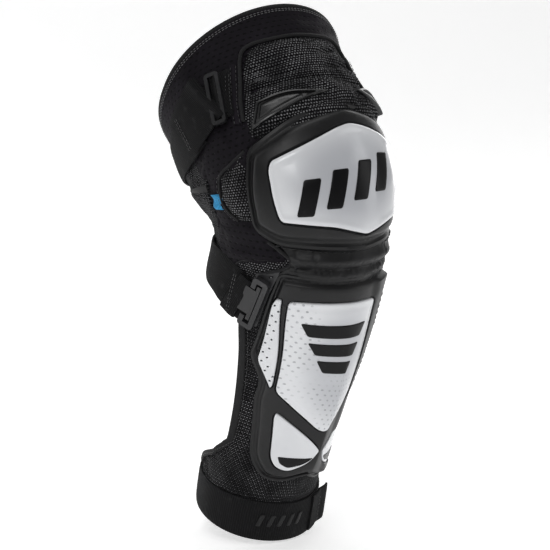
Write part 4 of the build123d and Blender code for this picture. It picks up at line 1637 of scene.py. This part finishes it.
def ankle_pieces():
    """The ankle strap, its tab and the raised bars on it."""
    def elastic_band(u, v):
        turn = 360 * u - 180
        low = rim(turn, *ANKLE_FOOT)
        station = low + (rim(turn, *ANKLE_TOP) - low) * v
        return (
            turn,
            station,
            4.8 - 0.5 * np.abs(2 * v - 1) ** 8 + 0.35 * np.sin(np.radians(turn) * 9) * np.sin(np.pi * v),
        )
    strap = sheet_grid("ankle_strap.elastic", elastic_band, 190, 16, 2.2, closed=True)
    dress(strap, CROSS_ELASTIC, "shin", ["ankle_strap"])

    def loop_band(u, v):
        return 360 * u - 180, -300 + 31 * v, 2.0 + 0 * u
    band_inside = sheet_grid("ankle_loop_band.pile", loop_band, 150, 8, 1.8, closed=True)
    dress(band_inside, LOOP, "shin", ["ankle_loop_band"])
    for k, turn in enumerate((34, 24, 14, 4, -6)):
        edge = outline(
            [(turn - 1.2, -288, 1), (turn - 5.4, -288, 1), (turn - 1.8, -300, 1), (turn + 2.4, -300, 1)],
            step=1.2,
        )
        mark = relief(
            f"ankle_strap.raised_bar_{k + 1}",
            edge,
            level(5.75, edge, 0.8, 0.5),
            4.0,
            rings=(0, 0.4, 0.8),
            grid=2.2,
        )
        dress(mark, SOFT_RUBBER, "shin")

    def tab(u, v):
        turn = -25 - 30 * u
        low = rim(turn, *TAB_FOOT)
        station = low + (rim(turn, *TAB_TOP) - low) * v
        return turn, station, 7.1 + 5.5 * ramp(u, 0.55, 1.0) - 0.4 * np.abs(2 * v - 1) ** 8
    flap = sheet_grid("ankle_strap_tab.flap", tab, 26, 14, 1.9)
    dress(flap, CROSS_ELASTIC, "ankle_tab", ["ankle_strap_tab"])
    rows = [([(turn, -309), (turn, -281)], 7.5) for turn in (-40.5, -42.0)]
    dress(stitches("ankle_strap_tab.stitches", rows, radius=0.24), THREAD, "ankle_tab")


# ---------------------------------------------------------------- floor, light, camera
def studio():
    """A white paper sweep, four area lamps and a dim white world."""
    low, high = cad_box
    floor = bpy.data.meshes.new("floor")
    reach, wall, bend = 6.0, 3.0, 12
    profile = [(-reach, 0.0), (1.5, 0.0)]
    profile += [(1.5 + math.sin(t), 1 - math.cos(t)) for t in np.linspace(0, math.pi / 2, bend)]
    profile.append((2.5, wall + 1))
    z = low[2] - 0.002
    verts = [(x, y, z + h) for y, h in profile for x in (-reach, reach)]
    faces = [(2 * k, 2 * k + 1, 2 * k + 3, 2 * k + 2) for k in range(len(profile) - 1)]
    floor.from_pydata(verts, [], faces)
    floor.polygons.foreach_set("use_smooth", [True] * len(faces))
    ground = bpy.data.objects.new("studio_floor", floor)
    bpy.context.scene.collection.objects.link(ground)
    paper = Look("paper", (0.93, 0.93, 0.93), 0.9)
    paper.bump(paper.noise(300.0), 0.02, 0.2)
    paper.put(paper.shader, "Emission Color", (1.0, 1.0, 1.0, 1.0))
    paper.put(paper.shader, "Emission Strength", 0.45)
    floor.materials.append(paper.material)
    for name, place, size, power in LIGHTS:
        lamp = bpy.data.lights.new(name, "AREA")
        lamp.shape, lamp.size, lamp.size_y = "RECTANGLE", *size
        lamp.energy = power
        holder = bpy.data.objects.new(name, lamp)
        holder.location = place
        aim = Vector((0, 0, -0.05)) - Vector(place)
        holder.rotation_euler = aim.to_track_quat("-Z", "Y").to_euler()
        bpy.context.scene.collection.objects.link(holder)
    world = bpy.data.worlds.new("studio")
    world.use_nodes = True
    world.node_tree.nodes["Background"].inputs[0].default_value = (1.0, 1.0, 1.0, 1.0)
    world.node_tree.nodes["Background"].inputs[1].default_value = 0.22
    bpy.context.scene.world = world
    bpy.context.scene.view_settings.view_transform = "Standard"


LIGHTS = (
    ("key", (-1.5, -1.3, 1.6), (0.9, 1.2), 17),
    ("fill", (1.7, -1.4, 0.6), (0.8, 1.6), 6),
    ("top", (0.0, 0.2, 2.2), (1.6, 1.2), 12),
    ("edge", (1.5, 0.9, 0.5), (0.6, 1.6), 7),
)


def look_from(azimuth, elevation, distance, lens, right_mm, up_mm):
    """A camera at a viewing angle, moved in its own plane so that the knee's axis sits off centre."""
    az, el = math.radians(azimuth), math.radians(elevation)
    back = Vector((math.sin(az) * math.cos(el), -math.cos(az) * math.cos(el), math.sin(el)))
    right = Vector((math.cos(az), math.sin(az), 0.0))
    up = back.cross(right)
    camera = bpy.data.cameras.new("camera")
    camera.lens, camera.sensor_width, camera.clip_end = lens, 36.0, 50.0
    holder = bpy.data.objects.new("camera", camera)
    holder.location = back * distance - right * right_mm * MM - up * up_mm * MM
    holder.rotation_euler = back.to_track_quat("Z", "Y").to_euler()
    bpy.context.scene.collection.objects.link(holder)
    bpy.context.scene.camera = holder


knee_pieces()
for side_name, side_sign in SIDES:
    gusset_pieces(side_name, side_sign)
fold_pieces()
thigh_pieces()
shin_pieces()
for node_name, look in (("strap_ring", HARDWARE), ("strap_catch", CATCH), ("calf_clip", HARDWARE)):
    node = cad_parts[node_name]
    node.data.materials.clear()
    node.data.materials.append(look)
studio()
look_from(azimuth=-35, elevation=12, distance=2.0, lens=148.8, right_mm=18.0, up_mm=70.0)
